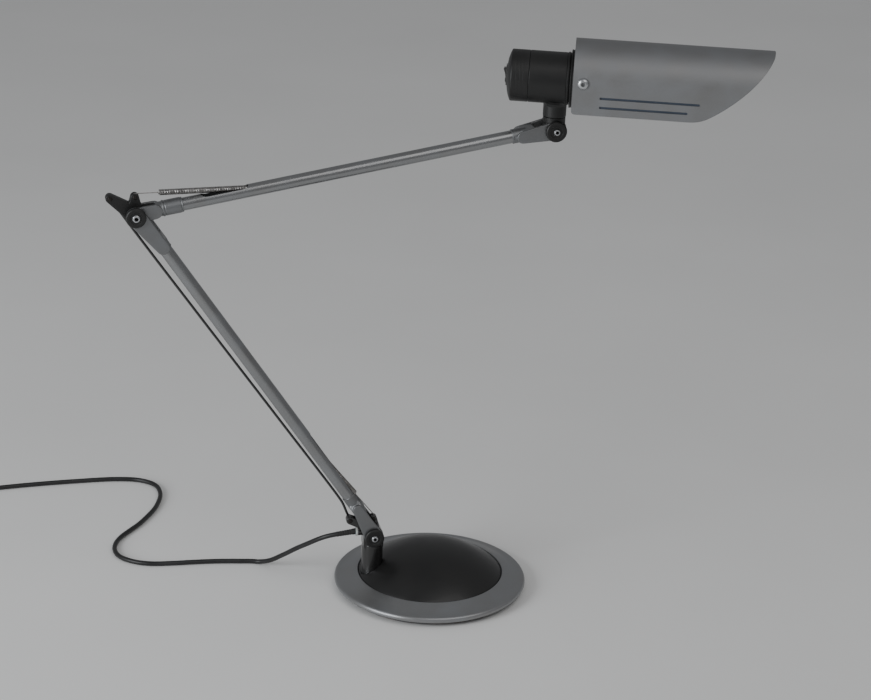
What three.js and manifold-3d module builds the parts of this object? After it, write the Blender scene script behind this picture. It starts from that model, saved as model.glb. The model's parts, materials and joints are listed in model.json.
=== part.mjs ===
// Architect desk lamp: round weighted base, swivelling post, two balanced arms with a levelling rod,
// and a trough shade on a tilting and swivelling head. Millimetres, +Z up, arms in the XZ plane.
import * as THREE from 'three';
import { mergeVertices } from 'three/addons/utils/BufferGeometryUtils.js';
import Module from 'manifold-3d';

const wasm = await Module();
wasm.setup();

// ---- driving dimensions ----
const BASE_R = 100;
const DOME_R = 75;
const DOME_TOP = 45;
const DOME_SEAM_Z = 16.5;
const PAD_TOP = 2;
const PLATE_TOP = 4.3;
const POST_X = -62;
const POST_R = 11;
const PIVOT_Z = 63.5;
const LOWER_LENGTH = 432.3;
const LOWER_ANGLE = 123.76;
const UPPER_LENGTH = 419.8;
const UPPER_ANGLE = 9.96;
const TUBE_R = 6.5;
const TUBE_BORE = 5.4;
const LOWER_TUBE_DROP = -3.3;
const TONGUE_HALF = 7.7;
const EAR_HALF = 4;
const CHEEK_IN = 8;
const CHEEK_OUT = 11;
const CHEEK_R = 9.6;
const CAP_R = 10;
const CAP_IN = 11.3;
const CAP_OUT = 15;
const BOLT_R = 2.9;
const BOLT_HOLE = 3.2;
const EAR_PIN_HEIGHT = 17.9;
const EAR_TIP_HEIGHT = 17.4;
const EAR_TIP_R = 4.2;
const EAR_SLOT_FLOOR = 14.1;
const HOOK_R = 2.9;
const ROD_PIN_OFFSET = new THREE.Vector2(-24, 17.2);
const ROD_Y = 5.7;
const ROD_R = 1.35;
const SPRING_R = 3.1;
const SPRING_WIRE_R = 0.5;
const SPRING_ANCHOR = 130;
const SLOT_HALF = 3.4;
const WIDE_SLOT_HALF = 5;
const HEAD_TILT = 1.2;
const HEAD_YAW = -16.1;
const HEAD_AXIS = 51.5;
const HOUSING_R = 25.5;
const FLANGE_R = 28.5;
const SHADE_R = 36;
const SHADE_WALL = 1.2;
const SHADE_BACK = 16.3;
const SHADE_FRONT = 208;
const SHADE_CENTRE = 56;
const SHADE_RIM = 25.7;
const CORD_R = 2.5;
const CORD_Z = 2.8;
const COIL_CENTRE = new THREE.Vector2(-540, 318);
const GAP = 0.3;
const ROUND = 24;

const COLOURS = {
  silver: [0xa9a8a8, 0.38, 0.75],
  black: [0x1b1b1d, 0.5, 0.05],
  gloss_black: [0x101113, 0.22, 0.1],
  steel: [0x8d9094, 0.3, 0.95],
  dark_steel: [0x3b3a3a, 0.4, 0.9],
  iron: [0x4a4947, 0.8, 0.6],
  rubber: [0x202020, 0.9, 0],
  nylon: [0xb9bab6, 0.45, 0],
  brass: [0xb08d4a, 0.35, 0.9],
  white: [0xefeeea, 0.35, 0],
};

const lamp = new THREE.Group();
lamp.name = 'architect_desk_lamp';

function add(name, geometry, colour, matrix) {
  const [hex, roughness, metalness] = COLOURS[colour];
  const material = new THREE.MeshStandardMaterial({ color: hex, roughness, metalness });
  const mesh = new THREE.Mesh(geometry, material);
  mesh.name = name;
  if (matrix) geometry.applyMatrix4(matrix);
  lamp.add(mesh);
}

// ---- solid helpers ----
function toSolid(geometry) {
  const bare = geometry.clone();
  bare.deleteAttribute('normal');
  bare.deleteAttribute('uv');
  const merged = mergeVertices(bare, 1e-4);
  const mesh = new wasm.Mesh({
    numProp: 3,
    vertProperties: new Float32Array(merged.attributes.position.array),
    triVerts: new Uint32Array(merged.index.array),
  });
  mesh.merge();
  return new wasm.Manifold(mesh);
}

function toGeometry(solid) {
  const mesh = solid.getMesh();
  const geometry = new THREE.BufferGeometry();
  geometry.setAttribute('position', new THREE.BufferAttribute(new Float32Array(mesh.vertProperties), 3));
  geometry.setIndex(new THREE.BufferAttribute(new Uint32Array(mesh.triVerts), 1));
  geometry.computeVertexNormals();
  return geometry;
}

function join(...parts) {
  return toGeometry(parts.map(toSolid).reduce((whole, part) => whole.add(part)));
}

function cut(body, ...tools) {
  return toGeometry(tools.map(toSolid).reduce((whole, tool) => whole.subtract(tool), toSolid(body)));
}

function intersect(a, b) {
  return toGeometry(toSolid(a).intersect(toSolid(b)));
}

// a profile of [radius, height] turned about Z; it may be listed either way round
function lathe(profile, segments = ROUND) {
  const points = profile.map(([r, z]) => new THREE.Vector2(r, z));
  if (THREE.ShapeUtils.area(points) < 0) points.reverse();
  return new THREE.LatheGeometry(points, segments).rotateX(Math.PI / 2);
}

function cylinderZ(radius, low, high, x = 0, y = 0, segments = ROUND) {
  const body = new THREE.CylinderGeometry(radius, radius, high - low, segments);
  return body.rotateX(Math.PI / 2).translate(x, y, (low + high) / 2);
}

function cylinderY(radius, near, far, x = 0, z = 0, segments = ROUND) {
  const body = new THREE.CylinderGeometry(radius, radius, far - near, segments);
  return body.translate(x, (near + far) / 2, z);
}

function cylinderX(radius, back, front, z = 0, segments = ROUND) {
  const body = new THREE.CylinderGeometry(radius, radius, front - back, segments);
  return body.rotateZ(-Math.PI / 2).translate((back + front) / 2, 0, z);
}

function boxOf(x0, x1, y0, y1, z0, z1) {
  const body = new THREE.BoxGeometry(x1 - x0, y1 - y0, z1 - z0);
  return body.translate((x0 + x1) / 2, (y0 + y1) / 2, (z0 + z1) / 2);
}

// a flat plate drawn in x and z, from y = near to y = far
function plate(shape, near, far, curveSegments = 8) {
  const body = new THREE.ExtrudeGeometry(shape, { depth: far - near, bevelEnabled: false, curveSegments });
  return body.rotateX(Math.PI / 2).translate(0, far, 0);
}

// the outline round two circles, joined by their outer tangents
function linkShape(x0, z0, r0, x1, z1, r1) {
  const along = Math.atan2(z1 - z0, x1 - x0);
  const spread = Math.acos((r0 - r1) / Math.hypot(x1 - x0, z1 - z0));
  const shape = new THREE.Shape();
  shape.absarc(x0, z0, r0, along + spread, along - spread + 2 * Math.PI, false);
  shape.absarc(x1, z1, r1, along - spread, along + spread, false);
  shape.closePath();
  return shape;
}

function tubeAlong(points, radius, sides, steps) {
  const curve = new THREE.CatmullRomCurve3(points.map((p) => new THREE.Vector3(...p)), false, 'centripetal');
  const ring = new THREE.Shape();
  ring.absarc(0, 0, radius, 0, 2 * Math.PI, false);
  return new THREE.ExtrudeGeometry(ring, { steps, extrudePath: curve, curveSegments: sides / 2 });
}

// ---- frames: each arm is drawn along +X from its pivot, then turned up to its angle ----
function armFrame(x, z, degrees) {
  const turn = new THREE.Matrix4().makeRotationY(-THREE.MathUtils.degToRad(degrees));
  return new THREE.Matrix4().makeTranslation(x, 0, z).multiply(turn);
}

function armPoint(x, z, degrees, distance) {
  const angle = THREE.MathUtils.degToRad(degrees);
  return [x + distance * Math.cos(angle), z + distance * Math.sin(angle)];
}

const [ELBOW_X, ELBOW_Z] = armPoint(POST_X, PIVOT_Z, LOWER_ANGLE, LOWER_LENGTH);
const [HEAD_X, HEAD_Z] = armPoint(ELBOW_X, ELBOW_Z, UPPER_ANGLE, UPPER_LENGTH);
const LOWER = armFrame(POST_X, PIVOT_Z, LOWER_ANGLE);
const LOWER_TOP = armFrame(ELBOW_X, ELBOW_Z, LOWER_ANGLE + 180);
const UPPER = armFrame(ELBOW_X, ELBOW_Z, UPPER_ANGLE);
const UPPER_END = armFrame(HEAD_X, HEAD_Z, UPPER_ANGLE + 180);
const AT_POST = armFrame(POST_X, PIVOT_Z, 0);
const AT_ELBOW = armFrame(ELBOW_X, ELBOW_Z, 0);
const KNUCKLE = armFrame(HEAD_X, HEAD_Z, -HEAD_TILT);
const HEAD = KNUCKLE.clone().multiply(new THREE.Matrix4().makeRotationZ(THREE.MathUtils.degToRad(HEAD_YAW)));

// ---- base ----
const SPHERE_R = (DOME_R ** 2 + (DOME_TOP - DOME_SEAM_Z) ** 2) / (2 * (DOME_TOP - DOME_SEAM_Z));

function domeArc(radiusOut, drop, steps) {
  const points = [];
  for (let i = 0; i <= steps; i += 1) {
    const r = (radiusOut * i) / steps;
    points.push([r, DOME_TOP - SPHERE_R + Math.sqrt((SPHERE_R - drop) ** 2 - r ** 2)]);
  }
  return points;
}

function addBase() {
  add('base_pad', cylinderZ(90, 0, PAD_TOP, 0, 0, 48), 'rubber');
  add('bottom_plate', cylinderZ(94, PAD_TOP + 0.1, PLATE_TOP, 0, 0, 48), 'iron');
  const ballastTop = domeArc(46, 4, 4);
  const ballast = [[0, PLATE_TOP + 0.1], [46, PLATE_TOP + 0.1], ...ballastTop.reverse()];
  add('ballast_weight', lathe(ballast, 32), 'iron');
  const lip = [];
  for (let i = 0; i <= 6; i += 1) {
    const angle = THREE.MathUtils.degToRad(65 - i * 32);
    lip.push([BASE_R - 2.4 + 2.4 * Math.cos(angle), PLATE_TOP + 2.9 + 2.4 * Math.sin(angle)]);
  }
  const collar = [[DOME_R + 0.4, 13.6], [DOME_R + 0.4, 17.2], [DOME_R + 1.6, 17.3]];
  const flange = [...collar, ...lip, [95.5, 4.9], [78, 12.6]];
  add('base_flange', lathe([...flange, flange[0]], 56), 'silver');
  const skirt = [[DOME_R, DOME_SEAM_Z - 4.5], [DOME_R - 2.5, DOME_SEAM_Z - 4.5]];
  const outer = domeArc(DOME_R, 0, 8);
  const inner = domeArc(DOME_R - 2.5, 2.5, 6);
  const dome = lathe([...outer, ...skirt, ...inner.reverse()], 56);
  add('base_dome', cut(dome, cylinderZ(POST_R + 0.4, 0, 60, POST_X)), 'black');
  const foot = PLATE_TOP + 0.1;
  const bush = [[7.3, foot], [10, foot], [10, 17.5], [7.3, 17.5], [7.3, foot]];
  add('swivel_bush', lathe(bush).translate(POST_X, 0, 0), 'brass');
}

// ---- ears shared by the post and the elbow bracket ----
function earParts(rootX, rootZ, rootR) {
  const spring = plate(linkShape(0, 0, 8.5, 0, EAR_TIP_HEIGHT, EAR_TIP_R), -EAR_HALF, EAR_HALF);
  const lever = linkShape(rootX, rootZ, rootR, ROD_PIN_OFFSET.x, ROD_PIN_OFFSET.y, 4.3);
  const rod = plate(lever, -EAR_HALF, EAR_HALF);
  return [spring, rod];
}

function earHoles() {
  return [
    boxOf(-6, 6, -1, 1, EAR_SLOT_FLOOR, EAR_SLOT_FLOOR + 10),
    cylinderY(1.5, -6, 6, 0, EAR_PIN_HEIGHT, 16),
    cylinderY(1.5, -6, 6, ROD_PIN_OFFSET.x, ROD_PIN_OFFSET.y, 16),
    cylinderY(BOLT_HOLE, -12, 12),
  ];
}

function addEarPins(prefix, frame) {
  const pin = cylinderY(1.2, -EAR_HALF - 0.6, EAR_HALF + 0.6, 0, EAR_PIN_HEIGHT, 16);
  add(`${prefix}_spring_pin`, pin, 'steel', frame);
  const rodPin = cylinderY(1.2, -EAR_HALF - 0.6, ROD_Y + 2.4, ROD_PIN_OFFSET.x, ROD_PIN_OFFSET.y, 16);
  add(`${prefix}_rod_pin`, rodPin, 'steel', frame);
}

// ---- post ----
const GLAND_Z = 3.4;
const GLAND_FACE = -15.8;

function addPost() {
  const spindle = cylinderZ(7, 6 - PIVOT_Z, -44, 0, 0);
  const shaft = cylinderZ(POST_R, 17.9 - PIVOT_Z, -10.4);
  const tongue = plate(linkShape(0, 0, 10.4, 0, -10, 10.6), -TONGUE_HALF, TONGUE_HALF, 10);
  const boss = cylinderX(4.6, GLAND_FACE, -5, GLAND_Z, 24);
  const body = join(spindle, shaft, tongue, boss, ...earParts(-4, 8.5, 5.5));
  const cordHole = cylinderX(2.9, GLAND_FACE - 1, GLAND_FACE + 6, GLAND_Z, 16);
  add('post', cut(body, cordHole, ...earHoles()), 'gloss_black', AT_POST);
  const ring = [[3.9, 0], [4.8, 0], [4.8, 2.2], [3.9, 2.2], [3.9, 0]];
  const gland = lathe(ring, 24).rotateY(-Math.PI / 2).translate(GLAND_FACE - 0.1, 0, GLAND_Z);
  add('cord_gland', gland, 'nylon', AT_POST);
  const sleeve = lathe([[0, 0], [3.2, 0], [3.2, 4], [2.7, 21], [0, 21]], 16);
  const exit = new THREE.Vector3(-0.968, 0.165, -0.19).normalize();
  const lean = new THREE.Quaternion().setFromUnitVectors(new THREE.Vector3(0, 0, 1), exit);
  sleeve.applyQuaternion(lean).translate(GLAND_FACE - 0.9, 0, GLAND_Z);
  add('strain_relief', sleeve, 'rubber', AT_POST);
  addEarPins('post', AT_POST);
}

// ---- bolt, nut and caps of one pivot ----
function addPivot(prefix, frame, capRadius, headRadius) {
  const cap = [
    [BOLT_HOLE, 0], [capRadius, 0], [capRadius, CAP_OUT - CAP_IN - 0.8],
    [capRadius - 0.8, CAP_OUT - CAP_IN], [BOLT_HOLE, CAP_OUT - CAP_IN], [BOLT_HOLE, 0],
  ];
  add(`${prefix}_cap_near`, lathe(cap).rotateX(Math.PI / 2).translate(0, -CAP_IN, 0), 'black', frame);
  add(`${prefix}_cap_far`, lathe(cap).rotateX(-Math.PI / 2).translate(0, CAP_IN, 0), 'black', frame);
  const head = lathe([[0, 0], [headRadius, 0], [headRadius, 0.7], [headRadius * 0.6, 1.8], [0, 2]], 24);
  const shank = cylinderY(BOLT_R, -CAP_OUT - 0.4, CAP_OUT + 0.5, 0, 0, 24);
  const bolt = join(head.rotateX(Math.PI / 2).translate(0, -CAP_OUT - 0.2, 0), shank);
  add(`${prefix}_bolt`, bolt, 'steel', frame);
  const nut = lathe([[0, 0], [4.6, 0], [4.6, 2.4], [2.6, 3.6], [0, 3.8]], 6);
  add(`${prefix}_nut`, nut.rotateX(-Math.PI / 2).translate(0, CAP_OUT + 0.7, 0), 'steel', frame);
}

// ---- fork with two cheeks and a socket that holds a tube end ----
function forkGeometry(offset, slotEnd, socketEnd, cheekEnd = slotEnd + 8, cheekEndR = 4.6) {
  const rootX = slotEnd + 9;
  const cheek = linkShape(0, 0, CHEEK_R, cheekEnd, offset, cheekEndR);
  const near = plate(cheek, -CHEEK_OUT, -CHEEK_IN, 8);
  const far = plate(cheek, CHEEK_IN, CHEEK_OUT, 8);
  const bridgeShape = new THREE.Shape();
  const flare = [
    [slotEnd, -9.5], [slotEnd, 9.5], [rootX, 9.5],
    [rootX + 6, 6.6], [rootX + 6, -6.6], [rootX, -9.5],
  ];
  bridgeShape.setFromPoints(flare.map(([x, y]) => new THREE.Vector2(x, y)));
  const bridge = new THREE.ExtrudeGeometry(bridgeShape, { depth: 10.6, bevelEnabled: false });
  bridge.translate(0, 0, offset - 5.3);
  const socket = cylinderX(7.3, slotEnd + 3, socketEnd, offset);
  const bore = cylinderX(TUBE_R + GAP, slotEnd + 9, socketEnd + 1, offset);
  return cut(join(near, far, bridge, socket), bore, cylinderY(BOLT_HOLE, -12, 12));
}

function tubeGeometry(start, end, offset, slots) {
  const wall = [[TUBE_BORE, start], [TUBE_R, start], [TUBE_R, end], [TUBE_BORE, end], [TUBE_BORE, start]];
  const tube = lathe(wall).rotateY(Math.PI / 2).translate(0, 0, offset);
  return cut(tube, ...slots);
}

function slotAlong(start, end, offset, side, half = SLOT_HALF) {
  const startRound = cylinderZ(half, 0, 9, start + half, 0, 16);
  const middle = boxOf(start + half, end - half, -half, half, 0, 9);
  const endRound = cylinderZ(half, 0, 9, end - half, 0, 16);
  const tool = join(startRound, middle, endRound);
  return side > 0 ? tool.translate(0, 0, offset) : tool.rotateX(Math.PI).translate(0, 0, offset);
}

// a point straight above the pivot of an upright ear, seen from an arm drawn along +X
function aboveEar(degrees, height) {
  const angle = THREE.MathUtils.degToRad(90 - degrees);
  return new THREE.Vector2(height * Math.cos(angle), height * Math.sin(angle));
}

function hookRing(radius, centre) {
  const ring = new THREE.TorusGeometry(radius, SPRING_WIRE_R, 6, 18);
  return ring.rotateX(Math.PI / 2).translate(centre.x, 0, centre.y);
}

// a tension spring drawn as its outer sleeve: its wire leaves the top of the hook round the ear's pin,
// and ends in a ring round the anchor inside the tube
function springGeometry(degrees, anchor, coilStart, coilEnd) {
  const pin = aboveEar(degrees, EAR_PIN_HEIGHT);
  const start = aboveEar(degrees, EAR_PIN_HEIGHT + HOOK_R);
  const line = anchor.clone().sub(start);
  const coil = cylinderX(SPRING_R, coilStart, coilEnd, 0, 16);
  const wire = cylinderX(SPRING_WIRE_R, 0, line.length() - 2.2, 0, 8);
  const straight = join(coil, wire).rotateY(-line.angle()).translate(start.x, 0, start.y);
  return join(straight, hookRing(HOOK_R, pin), hookRing(2.1, anchor));
}

function addLowerArm() {
  const fork = forkGeometry(LOWER_TUBE_DROP, 28, 52);
  const channel = boxOf(20, 60, -SLOT_HALF, SLOT_HALF, -12, 1.5);
  add('lower_fork', cut(fork, channel), 'silver', LOWER);
  const slot = slotAlong(30, 134, LOWER_TUBE_DROP, -1);
  add('lower_tube', tubeGeometry(37.4, LOWER_LENGTH - 39.4, LOWER_TUBE_DROP, [slot]), 'silver', LOWER);
  const elbowFork = forkGeometry(-LOWER_TUBE_DROP, 30, 47, 42, 6.6);
  add('lower_elbow_fork', elbowFork, 'silver', LOWER_TOP);
  const anchor = cylinderY(1.2, -TUBE_BORE + 0.4, TUBE_BORE - 0.4, SPRING_ANCHOR, LOWER_TUBE_DROP, 16);
  add('lower_spring_anchor', anchor, 'steel', LOWER);
  const anchorPoint = new THREE.Vector2(SPRING_ANCHOR, LOWER_TUBE_DROP);
  add('lower_spring', springGeometry(LOWER_ANGLE, anchorPoint, 34, 106), 'dark_steel', LOWER);
  addPivot('base_joint', LOWER, CAP_R, 3.6);
}

// ---- levelling rod, cranked near its lower end, drawn in the lower arm's frame ----
function addRod() {
  const origin = new THREE.Vector2(0, 0);
  const turned = ROD_PIN_OFFSET.clone().rotateAround(origin, -THREE.MathUtils.degToRad(LOWER_ANGLE));
  const start = [turned.x, ROD_Y, turned.y];
  const end = [turned.x + LOWER_LENGTH, ROD_Y, turned.y];
  const route = [
    start, [turned.x + 6, ROD_Y, turned.y - 1], [turned.x + 17, ROD_Y, 7], [turned.x + 26, ROD_Y, 6.5],
    [160, ROD_Y, 7.7], [300, ROD_Y, 9.6], [turned.x + LOWER_LENGTH - 30, ROD_Y, 10.9], end,
  ];
  const wire = tubeAlong(route, ROD_R, 8, 32);
  const eyes = [start, end].map(([x, , z]) => cylinderY(3, ROD_Y - ROD_R, ROD_Y + ROD_R, x, z, 20));
  const holes = [start, end].map(([x, , z]) => cylinderY(1.5, 0, 12, x, z, 16));
  add('parallel_rod', cut(join(wire, ...eyes), ...holes), 'gloss_black', LOWER);
}

function addElbowBracket() {
  add('elbow_bracket', cut(join(...earParts(0, 0, 8.5)), ...earHoles()), 'black', AT_ELBOW);
  addEarPins('bracket', AT_ELBOW);
}

function addUpperArm() {
  const cheek = linkShape(0, 0, 7.8, 26, 0, 7);
  const near = plate(cheek, -TONGUE_HALF, -EAR_HALF - GAP, 8);
  const far = plate(cheek, EAR_HALF + GAP, TONGUE_HALF, 8);
  const block = cylinderX(7.7, 26.4, 47, 0);
  const bead = cylinderX(7.95, 27, 29.4, 0);
  const bore = cylinderX(TUBE_R + GAP, 32, 48, 0);
  const casting = cut(join(near, far, block, bead), bore, cylinderY(BOLT_HOLE, -12, 12));
  add('upper_elbow_casting', casting, 'silver', UPPER);
  const slot = slotAlong(66, 113, 0, 1, WIDE_SLOT_HALF);
  const tubeEnd = UPPER_LENGTH - 36.4;
  add('upper_tube', tubeGeometry(32.4, tubeEnd, 0, [slot]), 'silver', UPPER);
  const hole = [25, 29].map((x) => cylinderZ(2.2, 2, 9, x, 0, 16));
  const lightening = join(...hole, boxOf(25, 29, -2.2, 2.2, 2, 9));
  add('head_fork', cut(forkGeometry(0, 19, 43, 34), lightening), 'silver', UPPER_END);
  const anchor = cylinderY(1.2, -TUBE_BORE + 0.4, TUBE_BORE - 0.4, SPRING_ANCHOR, 0, 16);
  add('upper_spring_anchor', anchor, 'steel', UPPER);
  const anchorPoint = new THREE.Vector2(SPRING_ANCHOR, 0);
  add('upper_spring', springGeometry(UPPER_ANGLE, anchorPoint, 22.7, 109.5), 'dark_steel', UPPER);
  addPivot('elbow_joint', UPPER, CAP_R, 4);
  addPivot('head_joint', UPPER_END, CAP_R + 0.5, 3.4);
}

// ---- head ----
const NECK_LOW = 13;
const ROCKER_X = -47.5;
const ROCKER_REST = 8;

function addKnuckle() {
  const tongue = plate(linkShape(0, 0, 11.2, 0, 1.2, 11.2), -TONGUE_HALF, TONGUE_HALF, 10);
  const upper = intersect(cylinderZ(11.5, 5, NECK_LOW - GAP), boxOf(-12, 12, -12, 12, 11.4, NECK_LOW));
  const pegBody = cylinderZ(5, 8, 20);
  add('knuckle', cut(join(tongue, upper, pegBody), cylinderY(BOLT_HOLE, -12, 12)), 'black', KNUCKLE);
}

function addHousing() {
  const barrel = cylinderX(HOUSING_R, -27, 13, HEAD_AXIS, 40);
  const bead = cylinderX(HOUSING_R + 0.6, 10.2, 12, HEAD_AXIS, 40);
  const neck = cylinderZ(11.5, NECK_LOW, 32);
  const hollow = cylinderX(HOUSING_R - 2.4, -23, 10.5, HEAD_AXIS, 32);
  const open = cylinderX(HOUSING_R - 6, -30, -20, HEAD_AXIS, 32);
  const pegHole = cylinderZ(5.3, 10, 21);
  add('lamp_housing', cut(join(barrel, bead, neck), hollow, open, pegHole), 'black', HEAD);
  const crown = [[0, 4.4], [9, 4.2], [17, 3.1], [HOUSING_R - 3, 1.2], [HOUSING_R, -0.6]];
  const capProfile = [...crown, [HOUSING_R, -17.4], [0, -17.4]];
  const cap = lathe(capProfile, 40).rotateY(-Math.PI / 2).translate(-44.7, 0, HEAD_AXIS);
  const pocket = boxOf(-60, -44, -4.4, 4.4, HEAD_AXIS - 10.4, HEAD_AXIS + 10.4);
  add('housing_cap', cut(cap, pocket), 'black', HEAD);
  const frame = cut(
    boxOf(-49.9, -44.2, -4.1, 4.1, HEAD_AXIS - 10.1, HEAD_AXIS + 10.1),
    boxOf(-52, -45.2, -3, 3, HEAD_AXIS - 8.6, HEAD_AXIS + 8.6),
  );
  add('switch_frame', frame, 'gloss_black', HEAD);
  const rocker = new THREE.Shape();
  const corners = [[1.4, -2], [-1.2, -7.6], [-4.2, -7.6], [-3, 0], [-4.2, 7.6], [-1.2, 7.6], [1.4, 2]];
  rocker.setFromPoints(corners.reverse().map(([x, z]) => new THREE.Vector2(x, z)));
  const pressed = plate(rocker, -2.7, 2.7).rotateY(-THREE.MathUtils.degToRad(ROCKER_REST));
  add('rocker_switch', pressed.translate(ROCKER_X, 0, HEAD_AXIS), 'gloss_black', HEAD);
  add('housing_flange', cylinderX(FLANGE_R, 13.3, 17.4, HEAD_AXIS, 40), 'black', HEAD);
}

// inverted U section of the shade, from the rim up and over
function troughShape(radius, rim, wall) {
  const shape = new THREE.Shape();
  shape.moveTo(-radius, rim);
  shape.lineTo(-radius + wall, rim);
  shape.absarc(0, SHADE_CENTRE, radius - wall, Math.PI, 0, true);
  shape.lineTo(radius - wall, rim);
  shape.lineTo(radius, rim);
  shape.absarc(0, SHADE_CENTRE, radius, 0, Math.PI, false);
  return shape;
}

// section drawn in y and z, run along x
function runAlongX(shape, back, front, curveSegments) {
  const body = new THREE.ExtrudeGeometry(shape, { depth: front - back, bevelEnabled: false, curveSegments });
  const axes = new THREE.Matrix4().makeBasis(
    new THREE.Vector3(0, 1, 0), new THREE.Vector3(0, 0, 1), new THREE.Vector3(1, 0, 0));
  return body.applyMatrix4(axes).translate(back, 0, 0);
}

function shadeSide() {
  const side = new THREE.Shape();
  const mouthFoot = new THREE.Vector2(136, SHADE_RIM);
  const mouthTop = new THREE.Vector2(SHADE_FRONT, SHADE_CENTRE + SHADE_R);
  side.moveTo(SHADE_BACK, SHADE_RIM + 3.5);
  side.absarc(SHADE_BACK + 3.5, SHADE_RIM + 3.5, 3.5, Math.PI, 1.5 * Math.PI, false);
  side.lineTo(mouthFoot.x - 6, mouthFoot.y);
  side.quadraticCurveTo(mouthFoot.x + 2, mouthFoot.y, 143, 28);
  side.bezierCurveTo(168, 42, 193, 66, mouthTop.x - 1, mouthTop.y - 2.5);
  side.lineTo(mouthTop.x, mouthTop.y + 1);
  side.lineTo(SHADE_BACK, mouthTop.y + 1);
  return side;
}

function addShade() {
  const trough = runAlongX(troughShape(SHADE_R, SHADE_RIM, SHADE_WALL), SHADE_BACK, SHADE_FRONT, 20);
  const profile = plate(shadeSide(), -40, 40, 10);
  const slots = [
    boxOf(43.2, 138.2, -50, 50, 42.3, 44.6),
    boxOf(43.2, 127.2, -50, 50, 33.1, 35.4),
  ];
  const screwHole = cylinderY(2, -50, 50, 26.3, 56.8, 16);
  add('shade', cut(intersect(trough, profile), ...slots, screwHole), 'silver', HEAD);
  const back = new THREE.Shape();
  const inner = SHADE_R - SHADE_WALL - GAP;
  back.moveTo(-inner, 31);
  back.lineTo(inner, 31);
  back.lineTo(inner, SHADE_CENTRE);
  back.absarc(0, SHADE_CENTRE, inner, 0, Math.PI, false);
  const backPlate = runAlongX(back, 17.7, 19.7, 16);
  const tabs = [-1, 1].map((side) => {
    const [near, far] = side < 0 ? [-inner + 0.3, -inner + 2.8] : [inner - 2.8, inner - 0.3];
    return boxOf(18.5, 34, near, far, 50, 61.5);
  });
  add('shade_bracket', cut(join(backPlate, ...tabs), cylinderY(2, -50, 50, 26.3, 56.8, 16)), 'black', HEAD);
  for (const [label, side] of [['near', -1], ['far', 1]]) {
    const screw = lathe([[0, -7], [1.7, -7], [1.7, 0], [5.6, 0], [5.2, 1.2], [3.4, 2.4], [0, 2.9]], 24);
    screw.rotateX(side < 0 ? Math.PI / 2 : -Math.PI / 2).translate(26.3, side * (SHADE_R + 0.1), 56.8);
    add(`shade_screw_${label}`, screw, 'steel', HEAD);
  }
  const holder = [[0, 20], [19, 20], [19, 27], [17, 30], [17, 46], [14, 46], [14, 27], [0, 27]];
  add('lamp_holder', lathe(holder).rotateY(Math.PI / 2).translate(0, 0, HEAD_AXIS), 'white', HEAD);
  add('bulb_base', cylinderX(13.2, 28, 46, HEAD_AXIS), 'brass', HEAD);
  const bulb = [[0, 46.3], [13, 46.3], [15, 52]];
  for (let i = 0; i <= 8; i += 1) {
    const angle = (i * Math.PI) / 16;
    bulb.push([15 * Math.cos(angle), 108 + 15 * Math.sin(angle)]);
  }
  bulb[bulb.length - 1][0] = 0;
  add('bulb_envelope', lathe(bulb).rotateY(Math.PI / 2).translate(0, 0, HEAD_AXIS), 'white', HEAD);
}

// ---- free cord: down from the relief, along the table and out to its coil ----
function addCord() {
  const route = [
    [-107.5, 5.8, 60.4], [-116, 10.3, 55.6], [-125, 18.5, 47.5], [-136, 31, 36.1], [-148.2, 46.4, 21.6],
    [-161, 61, 8.4], [-172, 71, CORD_Z], [-193, 75.5, CORD_Z], [-217, 78.7, CORD_Z], [-241, 80, CORD_Z],
    [-262, 80.6, CORD_Z], [-285, 83, CORD_Z], [-302, 90.5, CORD_Z], [-315, 104, CORD_Z], [-319, 120, CORD_Z],
    [-316.6, 136, CORD_Z], [-309.5, 151, CORD_Z], [-299, 165, CORD_Z], [-288, 179, CORD_Z],
    [-277.5, 196, CORD_Z], [-267.8, 214, CORD_Z], [-260.5, 234, CORD_Z], [-256.5, 256, CORD_Z],
    [-260, 277, CORD_Z], [-275, 292, CORD_Z], [-300, 299, CORD_Z], [-350, 300, CORD_Z], [-410, 297, CORD_Z],
    [-470, 290, CORD_Z], [-504, 285.2, CORD_Z],
  ];
  add('cord', tubeAlong(route, CORD_R, 8, 66), 'rubber');
  const ring = [[20, 1.6], [35.2, 1.6], [35.2, 11.6], [20, 11.6], [20, 1.6]];
  add('cord_coil', lathe(ring, 40).translate(COIL_CENTRE.x, COIL_CENTRE.y, 0), 'rubber');
  const band = cut(boxOf(18.5, 37.6, -3, 3, GAP, 12.9), boxOf(19.7, 36.6, -4, 4, 1.3, 11.9));
  add('cord_tie', band.translate(COIL_CENTRE.x, COIL_CENTRE.y, 0), 'black');
  addPlug();
}

function addPlug() {
  const leadLine = [[-578.3, 318, 7.8], [-578.6, 330, 7.4], [-578.9, 342, 7], [-579, 352, 6.9]];
  const lead = tubeAlong(leadLine, CORD_R, 8, 12);
  add('plug_lead', lead, 'rubber');
  const side = new THREE.Shape();
  side.moveTo(-7, 0);
  side.lineTo(7, 0);
  side.lineTo(11.5, 14);
  side.lineTo(12.8, 34);
  side.lineTo(-12.8, 34);
  side.lineTo(-11.5, 14);
  side.closePath();
  const plug = new THREE.ExtrudeGeometry(side, { depth: 13.2, bevelEnabled: false });
  const pins = [-9.5, 9.5].map((x) => cylinderY(2, 34.3, 53, x, 6.9, 12));
  const frame = new THREE.Matrix4().makeTranslation(-579, 352.4, 0);
  add('plug_body', plug.translate(0, 0, GAP), 'rubber', frame);
  add('plug_pin_left', pins[0], 'brass', frame);
  add('plug_pin_right', pins[1], 'brass', frame);
}

addBase();
addPost();
addLowerArm();
addRod();
addElbowBracket();
addUpperArm();
addKnuckle();
addHousing();
addShade();
addCord();

export default lamp;
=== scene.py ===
import json
import math

import bmesh
import bpy
from mathutils import Matrix, Vector


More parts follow.
